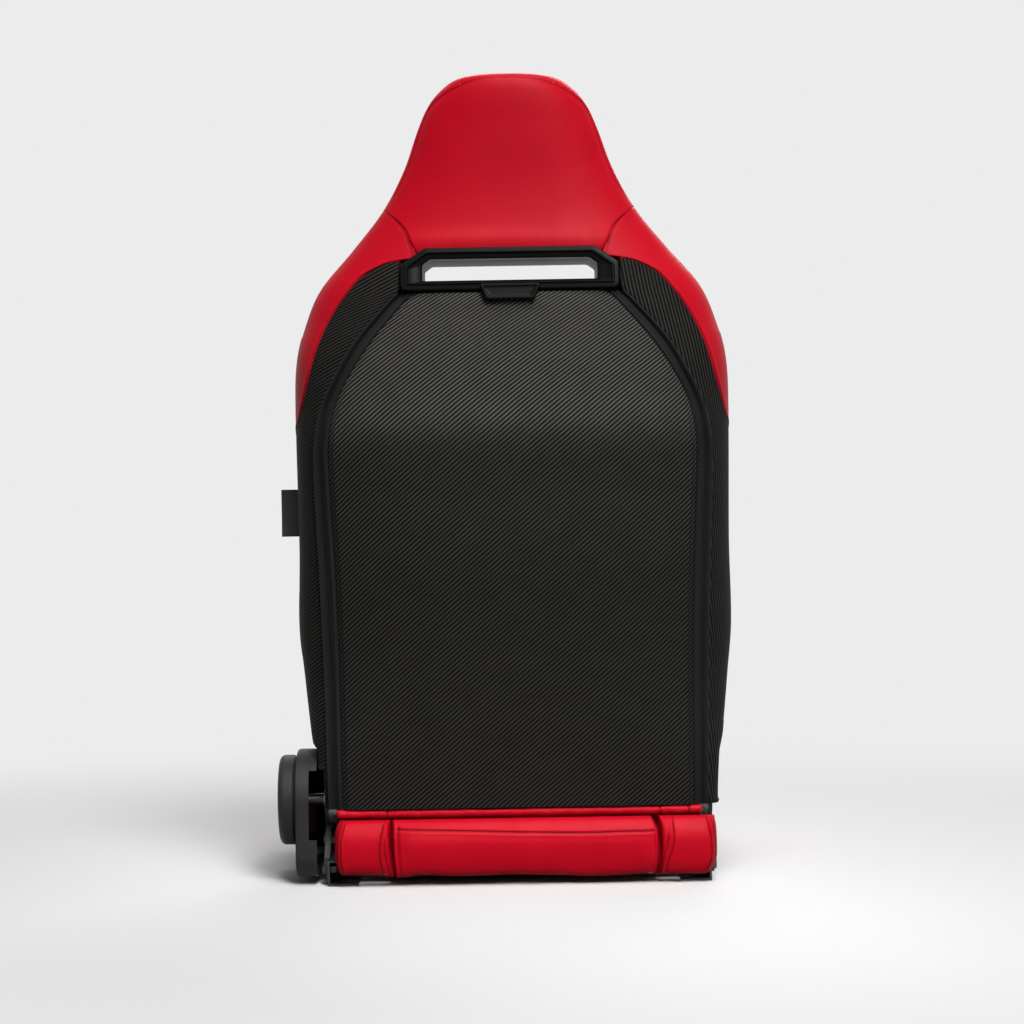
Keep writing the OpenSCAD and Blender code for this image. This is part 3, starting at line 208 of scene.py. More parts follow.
def addNode(tree, kind, inputs=None, **settings):
    # a new shader node with its settings, and each input joined to a socket or set to a value
    made = tree.nodes.new("ShaderNode" + kind)
    for key, value in settings.items():
        setattr(made, key, value)
    for key, value in (inputs or {}).items():
        if isinstance(value, bpy.types.NodeSocket):
            tree.links.new(value, made.inputs[key])
        else:
            made.inputs[key].default_value = value
    return made

class Finish:
    # a principled material with short calls for its nodes
    def __init__(self, name, **sockets):
        # a new material whose shader's sockets take the given values
        self.material = bpy.data.materials.new(name)
        self.material.use_nodes = True
        self.tree = self.material.node_tree
        self.shader = self.tree.nodes["Principled BSDF"]
        for key, value in sockets.items():
            self.shader.inputs[key.replace("_", " ")].default_value = value

    def node(self, kind, out=0, props=None, **inputs):
        # a new shader node with its settings and inputs, giving one of its outputs
        chosen = {int(key[1:]) if key[0] == "i" and key[1:].isdigit() else key.replace("_", " "): value
                  for key, value in inputs.items()}
        return addNode(self.tree, kind, chosen, **(props or {})).outputs[out]

    def math(self, operation, a, b=0.0, c=0.0):
        # one arithmetic step on a, b and c
        return self.node("Math", props={"operation": operation}, i0=a, i1=b, i2=c)

    def blendColours(self, amount, a, b):
        # a at amount 0 and b at amount 1
        return self.node("Mix", out=2, props={"data_type": "RGBA"}, i0=amount, i6=a, i7=b)

    def objectPlace(self, scale=1.0):
        # Object coordinates times scale
        place = self.node("TexCoord", out=3)
        return self.node("Mapping", Vector=place, Scale=(scale, scale, scale))

    def bump(self, height, strength, distance, base=None):
        # height made a tilt of the surface, on top of base if there is one
        inputs = {"Strength": strength, "Distance": distance, "Height": height}
        if base is not None:
            inputs["Normal"] = base
        return addNode(self.tree, "Bump", inputs).outputs[0]

    def put(self, **links):
        # join outputs to the shader's sockets
        for key, value in links.items():
            self.tree.links.new(value, self.shader.inputs[key.replace("_", " ")])

def colour(rgb):
    # three parts and full opacity
    return (*rgb, 1.0)

redLeather = {"base": (0.59, 0.0015, 0.0145), "deep": (0.22, 0.0005, 0.004), "grain": 820.0, "rough": 0.46}

def makeLeather(name, s, bump=0.13):
    # grain from smooth cells and fine noise, a broad noise for tone and dents, and painted shade that darkens
    # the grooves, seams and creases
    f = Finish(name, Roughness=s["rough"], Specular_IOR_Level=0.13)
    place = f.objectPlace()
    cells = f.node("TexVoronoi", out=0, props={"feature": "SMOOTH_F1"}, Vector=place, Scale=s["grain"],
                   Smoothness=0.45)
    fine = f.node("TexNoise", out=0, Vector=place, Scale=s["grain"] * 2.6, Detail=2.0)
    broad = f.node("TexNoise", out=0, Vector=place, Scale=26.0, Detail=4.0, Roughness=0.6)
    paintedShade = f.node("Attribute", out=2, props={"attribute_name": "paintedShade"})
    tint = f.math("MULTIPLY", f.math("SUBTRACT", broad, 0.42), 0.35)
    # painted shade: the attribute pulls the colour to the deep red in grooves, seams and creases, on top of
    # the random tone
    amount = f.math("ADD", f.math("MULTIPLY", paintedShade, 0.75), tint)
    amount = f.node("Clamp", Value=amount, Min=0.0, Max=1.0)
    f.put(Base_Color=f.blendColours(amount, colour(s["base"]), colour(s["deep"])))
    rough = f.math("MULTIPLY_ADD", broad, 0.16, s["rough"] - 0.08)
    f.put(Roughness=f.math("MULTIPLY_ADD", cells, 0.10, rough))
    grain = f.math("MULTIPLY_ADD", fine, 0.35, cells)
    soft = f.bump(broad, 0.22, 0.0016)
    f.put(Normal=f.bump(grain, bump, 0.00022, soft))
    return f.material

redMaterial = makeLeather("redLeatherette", redLeather)
plainMaterial = makeLeather("blackVinyl", {"base": (0.012, 0.012, 0.0125), "deep": (0.004, 0.004, 0.004),
                                           "grain": 900.0, "rough": 0.5})

twill = {"tow": 0.00148, "light": (0.128, 0.122, 0.110), "dark": (0.004, 0.004, 0.0036), "rough": 0.5}

def makeTwill(name, s):
    # two over, two under: a square shows warp where the sum of its row and column, modulo 4, is under 2
    f = Finish(name, Roughness=s["rough"], Specular_IOR_Level=0.04)
    weave = addNode(f.tree, "SeparateXYZ", {0: f.node("UVMap", props={"uv_map": "cloth"})}).outputs
    a = f.math("MULTIPLY", weave[0], 1 / s["tow"])
    b = f.math("MULTIPLY", weave[1], 1 / s["tow"])
    total = f.math("ADD", f.math("FLOOR", a), f.math("FLOOR", b))
    warp = f.math("LESS_THAN", f.math("FLOORED_MODULO", total, 4.0), 1.5)
    crownA = f.math("SINE", f.math("MULTIPLY", f.math("FRACT", a), math.pi))
    crownB = f.math("SINE", f.math("MULTIPLY", f.math("FRACT", b), math.pi))
    diagonal = f.math("FRACT", f.math("MULTIPLY", f.math("ADD", a, b), 0.25))
    ridge = f.math("SINE", f.math("MULTIPLY", diagonal, math.pi))
    crown = f.node("Mix", out=0, props={"data_type": "FLOAT"}, i0=warp, i2=crownB, i3=crownA)
    place = f.objectPlace()
    broad = f.node("TexNoise", out=0, Vector=place, Scale=40.0, Detail=3.0)
    thread = f.node("TexNoise", out=0, Vector=place, Scale=2600.0, Detail=2.0)
    paintedShade = f.node("Attribute", out=2, props={"attribute_name": "paintedShade"})
    lit = f.math("MULTIPLY", f.math("MULTIPLY_ADD", warp, 0.45, 0.55), f.math("POWER", ridge, 2.6))
    lit = f.math("MULTIPLY", lit, f.math("MULTIPLY_ADD", broad, 0.5, 0.75))
    # painted shade: the weave is darkened by the attribute in grooves, along tucked edges and towards the
    # centre panel's foot
    lit = f.math("MULTIPLY", lit, f.math("SUBTRACT", 1.0, f.math("MULTIPLY", paintedShade, 0.85)))
    f.put(Base_Color=f.blendColours(f.node("Clamp", Value=lit, Min=0.0, Max=1.0), colour(s["dark"]),
                                    colour(s["light"])))
    f.put(Roughness=f.math("MULTIPLY_ADD", warp, -0.08, s["rough"] + 0.1))
    height = f.math("ADD", f.math("MULTIPLY", crown, 0.35),
                    f.math("MULTIPLY_ADD", ridge, 0.9, f.math("MULTIPLY", thread, 0.12)))
    f.put(Normal=f.bump(height, 0.55, 0.0005))
    return f.material

twillMaterial = makeTwill("carbonTwillVinyl", twill)
# painted shade: a darker copy of the twill for the side panels, which face sideways and away from the lamps
shadedSideTwill = {"tow": 0.00148, "light": (0.040, 0.038, 0.034), "dark": (0.0025, 0.0025, 0.0023),
             "rough": 0.58}
shadedSideTwillMaterial = makeTwill("carbonTwillSidesShaded", shadedSideTwill)

def makePlastic(name, base, rough, texture, bump, shine):
    # a fine cell texture, worn patches in the gloss and a faint cloudy change of tone
    f = Finish(name, Base_Color=colour(base), Roughness=rough, Specular_IOR_Level=shine)
    place = f.objectPlace()
    spark = f.node("TexVoronoi", out=0, Vector=place, Scale=texture)
    cloudy = f.node("TexNoise", out=0, Vector=place, Scale=34.0, Detail=5.0, Roughness=0.65)
    worn = f.node("TexNoise", out=0, Vector=place, Scale=240.0, Detail=3.0)
    lighter = tuple(min(1, c * 1.6 + 0.002) for c in base)
    f.put(Base_Color=f.blendColours(f.math("MULTIPLY", cloudy, 0.5), colour(base), colour(lighter)))
    f.put(Roughness=f.math("ADD", f.math("MULTIPLY", worn, 0.14),
                           f.math("MULTIPLY_ADD", cloudy, 0.12, rough - 0.12)))
    f.put(Normal=f.bump(f.math("MULTIPLY_ADD", worn, 0.3, spark), bump, 0.0002))
    return f.material

satinPlastic = makePlastic("mouldedPlastic", (0.014, 0.0137, 0.013), 0.48, 1500.0, 0.25, 0.22)
glossPlastic = makePlastic("glossPlastic", (0.003, 0.003, 0.0026), 0.32, 700.0, 0.01, 0.07)

def makeMetal(name, base, rough, metallic, brushed=1.0):
    # lines stretched along X for the brushing, and a broad stain in tone and gloss
    f = Finish(name, Metallic=metallic, Roughness=rough)
    place = f.node("TexCoord", out=3)
    along = f.node("Mapping", Vector=place, Scale=(60.0 * brushed, 900.0, 900.0))
    lines = f.node("TexNoise", out=0, Vector=along, Scale=1.0, Detail=3.0)
    stain = f.node("TexNoise", out=0, Vector=place, Scale=45.0, Detail=5.0, Roughness=0.7)
    darker = tuple(c * 0.6 for c in base)
    f.put(Base_Color=f.blendColours(f.math("MULTIPLY", stain, 0.7), colour(base), colour(darker)))
    f.put(Roughness=f.math("ADD", f.math("MULTIPLY", lines, 0.18),
                           f.math("MULTIPLY_ADD", stain, 0.2, rough - 0.16)))
    f.put(Normal=f.bump(lines, 0.08, 0.0002))
    return f.material

paintedSteel = makeMetal("blackPaintedSteel", (0.016, 0.0165, 0.0175), 0.5, 0.0)
zincSteel = makeMetal("zincPlatedSteel", (0.30, 0.30, 0.295), 0.36, 1.0)
wireSteel = makeMetal("springWire", (0.34, 0.35, 0.36), 0.36, 1.0, 15.0)
boltSteel = makeMetal("fastenerSteel", (0.50, 0.51, 0.52), 0.30, 1.0, 15.0)
darkBoltSteel = makeMetal("blackOxideSteel", (0.085, 0.085, 0.088), 0.40, 1.0, 15.0)

def makeThread(name, base):
    # a fine noise stands for the twist of the thread
    f = Finish(name, Roughness=0.75, Specular_IOR_Level=0.08)
    place = f.objectPlace()
    twist = f.node("TexNoise", out=0, Vector=place, Scale=3000.0, Detail=2.0)
    f.put(Base_Color=f.blendColours(twist, colour(base), colour(tuple(c * 2.2 for c in base))))
    f.put(Normal=f.bump(twist, 0.4, 0.0002))
    return f.material

darkThread = makeThread("blackThread", (0.006, 0.004, 0.0045))

def makeLabel(name):
    # fine woven tape: two sets of threads across each other
    f = Finish(name, Roughness=0.72)
    place = f.node("TexCoord", out=3)
    warp = f.node("TexWave", out=0, props={"bands_direction": "Z"}, Vector=place, Scale=420.0,
                  Distortion=0.4)
    weft = f.node("TexWave", out=0, props={"bands_direction": "X"}, Vector=place, Scale=420.0,
                  Distortion=0.4)
    both = f.math("MULTIPLY", warp, weft)
    f.put(Base_Color=f.blendColours(both, colour((0.012, 0.012, 0.013)), colour((0.034, 0.034, 0.036))))
    f.put(Normal=f.bump(both, 0.5, 0.0003))
    return f.material

labelMaterial = makeLabel("wovenLabel")
print("materials made")

cadFinish = {
    paintedSteel: ["side_rail_left", "side_rail_right", "base_cross_tubes", "back_frame_hoop",
                   "back_cross_tubes", "recliner_arm_left", "recliner_arm_right",
                   "lower_bracket_left", "lower_bracket_right"],
    zincSteel: ["disc_fixed_left", "disc_fixed_right",
                "disc_moving_left", "disc_moving_right"],
    wireSteel: ["seat_springs", "back_wires"],
    boltSteel: ["weld_nuts", "shaft_clips"],
    darkBoltSteel: ["bracket_bolts", "cross_shaft"],
    satinPlastic: ["recliner_cover", "recliner_knob", "cover_screws", "slot_sleeve"],
    glossPlastic: ["rear_bezel", "front_bezel", "bezel_badge"],
}
for finish, names in cadFinish.items():
    for name in names:
        nodes[name].data.materials.clear()
        nodes[name].data.materials.append(finish)

def dress(piece, material, body, replaced=()):
    # give a piece its finish and body, and hide the solids it stands for
    piece.data.materials.append(material)
    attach(piece, body)
    if replaced:
        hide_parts(*replaced)
    return piece

# the backrest's shape: sections from the foot to the top, in millimetres

back = {
    "width": [(76, 235.4), (110, 235.8), (150, 238.5), (172, 243), (240, 251), (300, 256.5), (400, 254.5),
              (560, 254.5), (610, 252), (648, 243), (695, 223), (741, 184), (786, 148), (833, 122.5),
              (880, 105.5), (903, 96), (920, 85.5), (934, 71), (941, 59), (945, 44)],
    "rear": [(76, -234), (150, -250.5), (300, -284), (440, -314), (510, -329), (530, -331), (552, -329),
             (620, -319), (740, -290), (800, -281), (880, -280), (915, -280.2), (933, -278), (940.5, -272),
             (945, -259)],
    "side": [(76, -178), (150, -172), (300, -155), (450, -175), (600, -195), (741, -222), (800, -228),
             (920, -228), (945, -230)],
    "front": [(96, -138), (150, -141), (250, -150), (480, -213), (600, -222), (690, -207), (741, -192),
              (800, -181), (880, -181), (915, -186), (934, -196), (945, -208)],
    "boxy": [(76, 8), (130, 7.4), (180, 4.8), (230, 3.8), (300, 3.5), (600, 3.3), (700, 2.9), (780, 2.5),
             (945, 2.4)],
    "tip": [(150, -134), (175, -112), (210, -84), (260, -62), (330, -64), (420, -82), (520, -116),
            (600, -150), (680, -182), (741, -190), (790, -186)],
    "panel": [(88, 205), (330, 206), (480, 211), (510, 211), (551, 204), (585, 189), (628, 161), (671, 125),
              (685, 112)],
    "band": [(88, 221), (330, 225), (480, 229), (510, 228), (551, 221), (585, 206), (628, 182), (676, 141),
             (685, 131)],
    "red": [(540, 250), (573, 241), (595, 235), (619, 228), (641, 219), (664, 207), (687, 191), (710, 169),
            (724, 140)],
    "seam": [(727, 106), (741, 111), (762, 121), (786, 144)],
    "leftRed": [(150, 104), (240, 102), (268, 88), (340, 88), (375, 102), (470, 102), (520, 92), (540, 80)],
    "rightRed": [(88, 104), (138, 104), (152, 88), (182, 88), (204, 102), (470, 102), (520, 92), (540, 80)],
    "bottom": 88, "top": 945, "panelTop": 685, "sideTop": 724, "skin": 4, "rise": 3, "padX": 152,
    "redFrom": 540, "shoulder": 786, "tipAt": 0.52, "frontPower": 0.84, "headPower": 0.72,
}
quarter = math.pi / 2

def halfWidth(z):
    # half of the back's width at the height z, from its curve
    return smoothCurve(z, back["width"])

def rearY(z):
    # depth of the rear face's middle at the height z
    return smoothCurve(z, back["rear"])

def sideY(z):
    # depth of the widest place at the height z
    return smoothCurve(z, back["side"])

def frontY(z):
    # depth of the front face's middle at the height z
    return smoothCurve(z, back["front"])

def boxy(z):
    # exponent of the rear's superellipse: 2 is an ellipse, and more is squarer
    return smoothCurve(z, back["boxy"])

def tipY(z):
    # depth of the bolster's foremost edge at the height z
    return smoothCurve(z, back["tip"])

def panelX(z):
    # half of the centre panel's width at the height z
    return smoothCurve(z, back["panel"])

def bandX(z):
    # distance from the middle to the edge band's outer edge at the height z
    return smoothCurve(z, back["band"])

def angleAt(z, x):
    # place on the section of the point x from the centre: 0 at the rear, and a quarter turn at the side
    return np.arcsin(np.minimum(1, x / halfWidth(z)) ** (boxy(z) / 2))

def rearPoint(z, a, lift=0.0):
    # superellipse between the rear face and the widest place, moved out by lift
    w = halfWidth(z) + lift
    d = sideY(z) - rearY(z) + lift
    e = 2 / boxy(z)
    x = w * power(np.sin(a), e)
    y = sideY(z) - d * power(np.cos(a), e)
    return joined(x, y, z)

def frontPoint(z, a, inner):
    # quarter of a superellipse from the widest place round to the bolster's tip
    middle = mix(inner, halfWidth(z), back["tipAt"])
    x = middle + (halfWidth(z) - middle) * power(np.sin(a), back["frontPower"])
    y = sideY(z) + (tipY(z) - sideY(z)) * power(-np.cos(a), back["frontPower"])
    return joined(x, y, z)

def skinPoint(z, a, lift, inner):
    # the rear section up to a quarter turn and the front section past it, moved out by lift
    z, a, lift = np.broadcast_arrays(np.asarray(z, float), a, lift)
    out = np.stack([np.sin(a), -np.cos(a), np.zeros_like(a)], -1) * lift[..., None]
    return np.where((a <= quarter)[..., None], rearPoint(z, a, lift), frontPoint(z, a, inner) + out)

def headFront(z, a):
    # quarter of a superellipse from the widest place to the head's front face
    x = halfWidth(z) * power(np.sin(a), back["headPower"])
    y = sideY(z) + (frontY(z) - sideY(z)) * power(-np.cos(a), back["headPower"])
    return joined(x, y, z)

def redAngle(z, side):
    # where the red skin starts: degrees from a curve low down, and a distance across above
    low = np.radians(smoothCurve(z, back["leftRed"] if side < 0 else back["rightRed"]))
    return np.where(z < back["redFrom"], low, angleAt(z, smoothCurve(z, back["red"])))

def toSide(points, side):
    # x times side: mirrored for the left
    return points * np.array([side, 1, 1])

def weaveUv(points, lines, side=0):
    # arc lengths across and up the panel, turned so that the twill's lines climb at the wanted angle
    u = arcLength(points, 1)
    u = (u + points[:, :1, 0]) * side if side else u - u[:, -1:] / 2
    v = arcLength(points, 0)[:, :1] + np.zeros_like(u)
    turn = math.radians(lines + 45)
    c, s = math.cos(turn), math.sin(turn)
    return np.stack([(u * c + v * s) * mm, (v * c - u * s) * mm], -1)

# black back: centre panel, edge bands and side panels

centrePanel = {"rows": 220, "cols": 150, "lines": 41, "roll": 5.0}

def buildCentrePanel(s):
    # a grid over the rear section, raised by rise, with bells of the distance to its edges rolled down
    z = np.linspace(back["bottom"], back["panelTop"], s["rows"])[:, None]
    half = panelX(z)
    x = np.sin(np.linspace(-quarter, quarter, s["cols"]) * 0.999)[None, :] * half
    x = mix(x, np.linspace(-1, 1, s["cols"])[None, :] * half, 0.45)
    edge = half - np.abs(x)
    topEdge = back["panelTop"] - z
    roll = -2.2 * bell(edge, s["roll"]) - 1.2 * bell(topEdge, 6) + 0.35 * bell(edge - 9.5, 3)
    p = rearPoint(z, angleAt(z, np.abs(x)), back["rise"] + roll)
    inner = rearPoint(z, angleAt(z, np.abs(x)), -back["skin"] + 0 * x)
    sign = np.where(x < 0, -1, 1)
    p[..., 0] *= sign
    inner[..., 0] *= sign
    # painted shade: darker along the rolled edges, and towards the foot, where the lower back faces down and
    # away from the lamps
    paintedLowShade = 0.55 * ease((560 - z) / 75) + 0.2 * ease((450 - z) / 120)
    paintedShade = 0.9 * bell(edge, 1.6) + 0.5 * bell(edge - 7.2, 0.7) + paintedLowShade
    return slab("centre_panel", p, inner, weaveUv(p, s["lines"], 0), paintedShade)

dress(buildCentrePanel(centrePanel), twillMaterial, "backrest", ["rear_panel"])

edgeBand = {"rows": 220, "cols": 56}

def buildBand(s, side):
    # across the band: the panel's piping, a groove, a flat strip with a crease, a groove and the outer rib
    z = np.linspace(back["bottom"], back["panelTop"], s["rows"])[:, None]
    t = np.linspace(0, 1, s["cols"])[None, :]
    lift = smoothCurve(t, [(0, 0.6), (0.06, 2.2), (0.12, 2.9), (0.19, 2.0), (0.235, -1.6), (0.28, -2.0),
                           (0.46, -1.2), (0.5, -1.9), (0.54, -1.2), (0.68, -2.0), (0.715, -1.4),
                           (0.78, 2.4), (0.86, 3.3), (0.94, 2.2), (1, -0.6)])
    a = angleAt(z, mix(panelX(z), bandX(z), t))
    p = rearPoint(z, a, lift + 0 * z)
    inner = rearPoint(z, a, -back["skin"] + 0 * t)
    # painted shade in the band's two grooves and along its middle crease
    paintedShade = 0.9 * bell(t - 0.25, 0.03) + 0.9 * bell(t - 0.7, 0.03) + 0.4 * bell(t - 0.5, 0.02) + 0 * z
    name = "edge_piping_" + sideName(side)
    return slab(name, toSide(p, side), toSide(inner, side), None, paintedShade)

sidePanel = {"rows": 240, "cols": 60, "lines": {-1: 28, 1: 99}, "foot": {-1: 134, 1: 88}}

def buildSidePanel(s, side):
    # a grid from the band's edge to the red skin, with bells that tuck down its four edges
    z = np.linspace(s["foot"][side], back["sideTop"] - 0.5, s["rows"])[:, None]
    top = ease((z - back["panelTop"]) / 6)
    start = mix(bandX(z), 128.0 + 0 * z, top)
    a0 = angleAt(z, start)
    a1 = np.maximum(redAngle(z, side), a0 + 0.015)
    t = np.linspace(0, 1, s["cols"])[None, :]
    a = mix(a0, a1, t)
    flat = skinPoint(z, a, 0 * a, back["padX"])
    run = arcLength(flat, 1)
    fromBand, fromRed = run, run[:, -1:] - run
    fromFoot = z - s["foot"][side]
    fromTop = back["sideTop"] - z
    lift = -2.0 * bell(fromRed, 2.6) - 1.4 * bell(fromBand, 2.2) + 0.5 * bell(fromRed - 6, 3)
    lift = lift - 1.5 * bell(fromTop, 4)
    lift = lift + 1.3 * bell(fromFoot - 2.2, 2.0)
    if side < 0:
        # the foot stays inside the recliner's cover
        reach = mix(234.2, 262.0, ease((z - 158) / 14))
        outer = skinPoint(z, a, lift, back["padX"])
        outer[..., 0] = np.minimum(outer[..., 0], reach)
        inner = skinPoint(z, a, -back["skin"] + 0 * a, back["padX"])
        inner[..., 0] = np.minimum(inner[..., 0], reach - 3)
    else:
        outer = skinPoint(z, a, lift, back["padX"])
        inner = skinPoint(z, a, -back["skin"] + 0 * a, back["padX"])
    # painted shade where the panel tucks down at the red skin and at the band
    paintedShade = 0.85 * bell(fromRed, 1.3) + 0.8 * bell(fromBand, 1.4) + 0.5 * bell(fromRed - 4.4, 0.6)
    name = "twill_side_" + sideName(side)
    uv = weaveUv(outer, s["lines"][side], side)
    return slab(name, toSide(outer, side), toSide(inner, side), uv, paintedShade)

def buildStrip():
    # narrow strip of vinyl that goes on down beside the recliner
    z = np.linspace(back["bottom"], sidePanel["foot"][-1] + 1, 30)[:, None]
    a = angleAt(z, bandX(z) + np.linspace(0, 6, 8)[None, :])
    outer, inner = rearPoint(z, a, -0.3 + 0 * a), rearPoint(z, a, -back["skin"] + 0 * a)
    return slab("twill_strip_left", toSide(outer, -1), toSide(inner, -1),
                weaveUv(outer, sidePanel["lines"][-1], -1), 0 * a)

for side, word in ((-1, "left"), (1, "right")):
    dress(buildBand(edgeBand, side), plainMaterial, "backrest", ["edge_band_" + word])
    # the side panels and the strip take the darker twill copy, which is painted shade
    dress(buildSidePanel(sidePanel, side), shadedSideTwillMaterial, "backrest",
          ["side_panel_" + word])
dress(buildStrip(), shadedSideTwillMaterial, "backrest")
print("back panels made")

# red head section and side bolsters

head = {"foot": 726.7, "capFrom": 880, "around": 258, "welt": 17.0, "weltHigh": 1.2, "weltTop": 25.0,
        "topScale": 0.962, "notch": 53.0}

def seamX(z):
    # distance from the middle to the seam between the head and the shoulder
    return smoothCurve(z, back["seam"])

def buildHead(s):
    # rings of rear and front sections from foot to top, closed by shrinking copies of the last ring
    climb = np.concatenate([np.linspace(s["foot"], s["capFrom"], 96, endpoint=False),
                            mix(s["capFrom"], back["top"], np.sin(np.linspace(0, quarter, 64)))])
    z = climb[:, None]
    a = np.linspace(0, math.pi, s["around"])[None, :]
    half = np.where((a <= quarter)[..., None], rearPoint(z, np.minimum(a, quarter)),
                    headFront(z, np.maximum(a, quarter)))
    limit = np.where(z < back["shoulder"], seamX(z), 1e3)
    half[..., 0] = np.minimum(half[..., 0], limit)
    other = half[:, -2:0:-1] * np.array([-1, 1, 1])
    rings = np.concatenate([half, other], 1)
    # above the shoulders the head is a little lower than the section's curve
    rings[..., 2] = np.minimum(rings[..., 2], s["capFrom"] + (rings[..., 2] - s["capFrom"]) * s["topScale"])
    shrink = np.linspace(0.96, 0.06, 14)[:, None, None]
    centre = rings[-1].mean(0)
    cap = centre + (rings[-1] - centre)[None] * shrink
    return ringed("head_section", np.concatenate([rings, cap], 0))

def sewHead(x, y, z, normals):
    # a welt runs round the rear edge, and the skin bulges over the slot's frame and rolls in behind it;
    # painted shade darkens the welt's grooves, the seam and the notches
    rear = y < sideY(z) + 0.5
    toWelt = y - sideY(z) + head["welt"] + head["weltTop"] * ease((z - 898) / 40)
    high = ease((z - 790) / 30)
    notch = bell(np.abs(x) - head["notch"], 1.0) * (z > 925)
    welt = head["weltHigh"] * bell(toWelt, 1.6) * (1 - 0.9 * notch)
    groove = bell(toWelt + 3.6, 0.9) + bell(toWelt - 3.6, 0.9)
    top = notch * (toWelt > 0)
    toSeam = np.maximum(seamX(z) - np.abs(x), 0)
    seam = bell(toSeam, 0.6) * ease((780 - z) / 10)
    bulge = 2.4 * bell(z - 747, 11) - 5.0 * bell(z - head["foot"], 6)
    folds = 0.10 * np.sin(x / 1.7 + 1.3 * np.sin(x / 7.0)) * bell(z - 746, 8)
    soft = 0.35 * np.sin(x / 31.0 + 0.8) * np.sin(z / 27.0)
    sides = ease((96 - np.abs(x)) / 40)
    out = (welt - 0.8 * groove) * high + (bulge + folds) * rear + soft * sides - 0.7 * seam - 0.8 * top
    return -out, 0.7 * groove * high + 0.8 * seam + 0.8 * top

bolster = {"rows": 230, "foot": 150, "top": 786.3, "puff": 1.6, "turnShare": 0.66,
           "blendFrom": 600, "blendOver": 126, "coverX": 233.0, "freeX": 262.0}

def bolsterFront(z, inner, t):
    # from the side, over the tip and down the inner flank; towards the top it becomes the head's front
    middle = mix(inner, halfWidth(z), back["tipAt"])
    edge = frontY(z) + 6
    share = bolster["turnShare"]
    b = np.clip((t - share) / (1 - share), 0, 1) * quarter
    across = middle - (middle - inner) * np.sin(b) ** 0.9
    deep = edge + (tipY(z) - edge) * power(np.cos(b), 0.9)
    flank = joined(across, deep, z)
    aroundTip = frontPoint(z, quarter + quarter * np.minimum(t, share) / share, inner)
    low = np.where((t < share)[..., None], aroundTip, flank)
    last = math.pi - np.arcsin(np.minimum(inner / halfWidth(z), 1) ** (1 / back["headPower"]))
    high = headFront(z, mix(quarter, last, t))
    return mix(low, high, ease((z - bolster["blendFrom"]) / bolster["blendOver"])[..., None])

def buildBolster(s, side):
    # rings of four stretches: under the panel, over the bare rear, round the front, and the hidden wall
    z = np.linspace(s["foot"], s["top"], s["rows"])[:, None]
    inner = np.where(z < 696.6, back["padX"], np.where(z < 726.7, 128.0, seamX(z) + 0.3))
    inner = np.where(z < 690, back["padX"], mix(back["padX"] + 0 * z, inner, ease((z - 690) / 8)))
    start = angleAt(z, inner)
    red = np.maximum(redAngle(z, side), start + 0.04)
    change = np.where(z < back["sideTop"], red, start + 0.02)
    # under the black panel the foam lies deeper; at the edge the red skin rolls up beside it
    under = mix(start, change - 0.012, np.linspace(0, 1, 8)[None, :])
    bareRear = mix(change, np.maximum(quarter, change), np.linspace(0, 1, 46)[None, :])
    turn = np.maximum((change - quarter) / quarter * s["turnShare"], 0)
    t = mix(turn, 1.0, np.linspace(0, 1, 110)[None, 1:])
    lift = np.where(z < back["sideTop"], -back["skin"] - 0.4, 0)
    outerA = skinPoint(z, under, lift + 0 * under, back["padX"])
    outerB = skinPoint(z, bareRear, 0 * bareRear, back["padX"])
    outerC = bolsterFront(z, inner, t + 0 * z)
    visible = np.concatenate([outerB, outerC], 1)
    run = arcLength(visible, 1)
    z2 = z + 0 * run
    fromRed = np.where(z2 < back["sideTop"], run, 99)
    sewn = bell(np.where(z2 > 727, np.abs(run), 99), 0.65) * ease((780 - z2) / 10)
    centre = visible.mean(1, keepdims=True)
    out = visible - centre
    out[..., 2] = 0
    out /= np.linalg.norm(out, axis=-1, keepdims=True)
    flankSeam = bell(run[:, -1:] - run - 34, 1.6) * (z2 < 640) * ease((z2 - 170) / 30)
    puff = 1.2 * bell(fromRed - 2.0, 1.7) - 0.7 * sewn - 1.4 * flankSeam
    puff = puff + s["puff"] * np.sin(np.clip(run / run[:, -1:], 0, 1) * math.pi) ** 0.6 * (z2 < 640) * 0.6
    visible = visible + out * puff[..., None]
    full = np.concatenate([outerA, visible], 1)
    if side < 0:
        # the foot stays inside the recliner's cover
        full[..., 0] = np.minimum(full[..., 0], mix(s["coverX"], s["freeX"], ease((z - 154) / 20)))
    back0, front0 = full[:, :1], full[:, -1:]
    wall = mix(front0, back0, np.linspace(0, 1, 8)[None, 1:-1, None])
    rings = np.concatenate([full, wall], 1)
    # painted shade at the tucked red edge, along the head seam and in the flank's seam
    paintedShade = np.concatenate([0 * outerA[..., 0],
                             0.5 * bell(fromRed, 1.0) + 0.8 * sewn + 0.8 * flankSeam,
                             0 * wall[..., 0]], 1)
    name = "side_cushion_" + sideName(side)
    return ringed(name, toSide(rings, side), None, paintedShade)

# cloth: a padded piece swells under pressure, held where it is sewn or rests

def pointsOf(piece):
    # the mesh's points in millimetres, one row each
    flat = np.empty(len(piece.data.vertices) * 3, np.float32)
    piece.data.vertices.foreach_get("co", flat)
    return flat.reshape(-1, 3).astype(float) / mm

def setPoints(piece, points):
    # rows of millimetres back into the mesh
    piece.data.vertices.foreach_set("co", (points * mm).astype(np.float32).ravel())
    piece.data.update()

def normalsOf(piece):
    # the outward directions at the mesh's points, one row each
    flat = np.empty(len(piece.data.vertices) * 3, np.float32)
    piece.data.vertex_normals.foreach_get("vector", flat)
    return flat.reshape(-1, 3).astype(float)

def bake(piece):
    # the modifiers' result becomes the mesh
    graph = bpy.context.evaluated_depsgraph_get()
    mesh = bpy.data.meshes.new_from_object(piece.evaluated_get(graph))
    old = piece.data
    piece.modifiers.clear()
    piece.data = mesh
    bpy.data.meshes.remove(old)

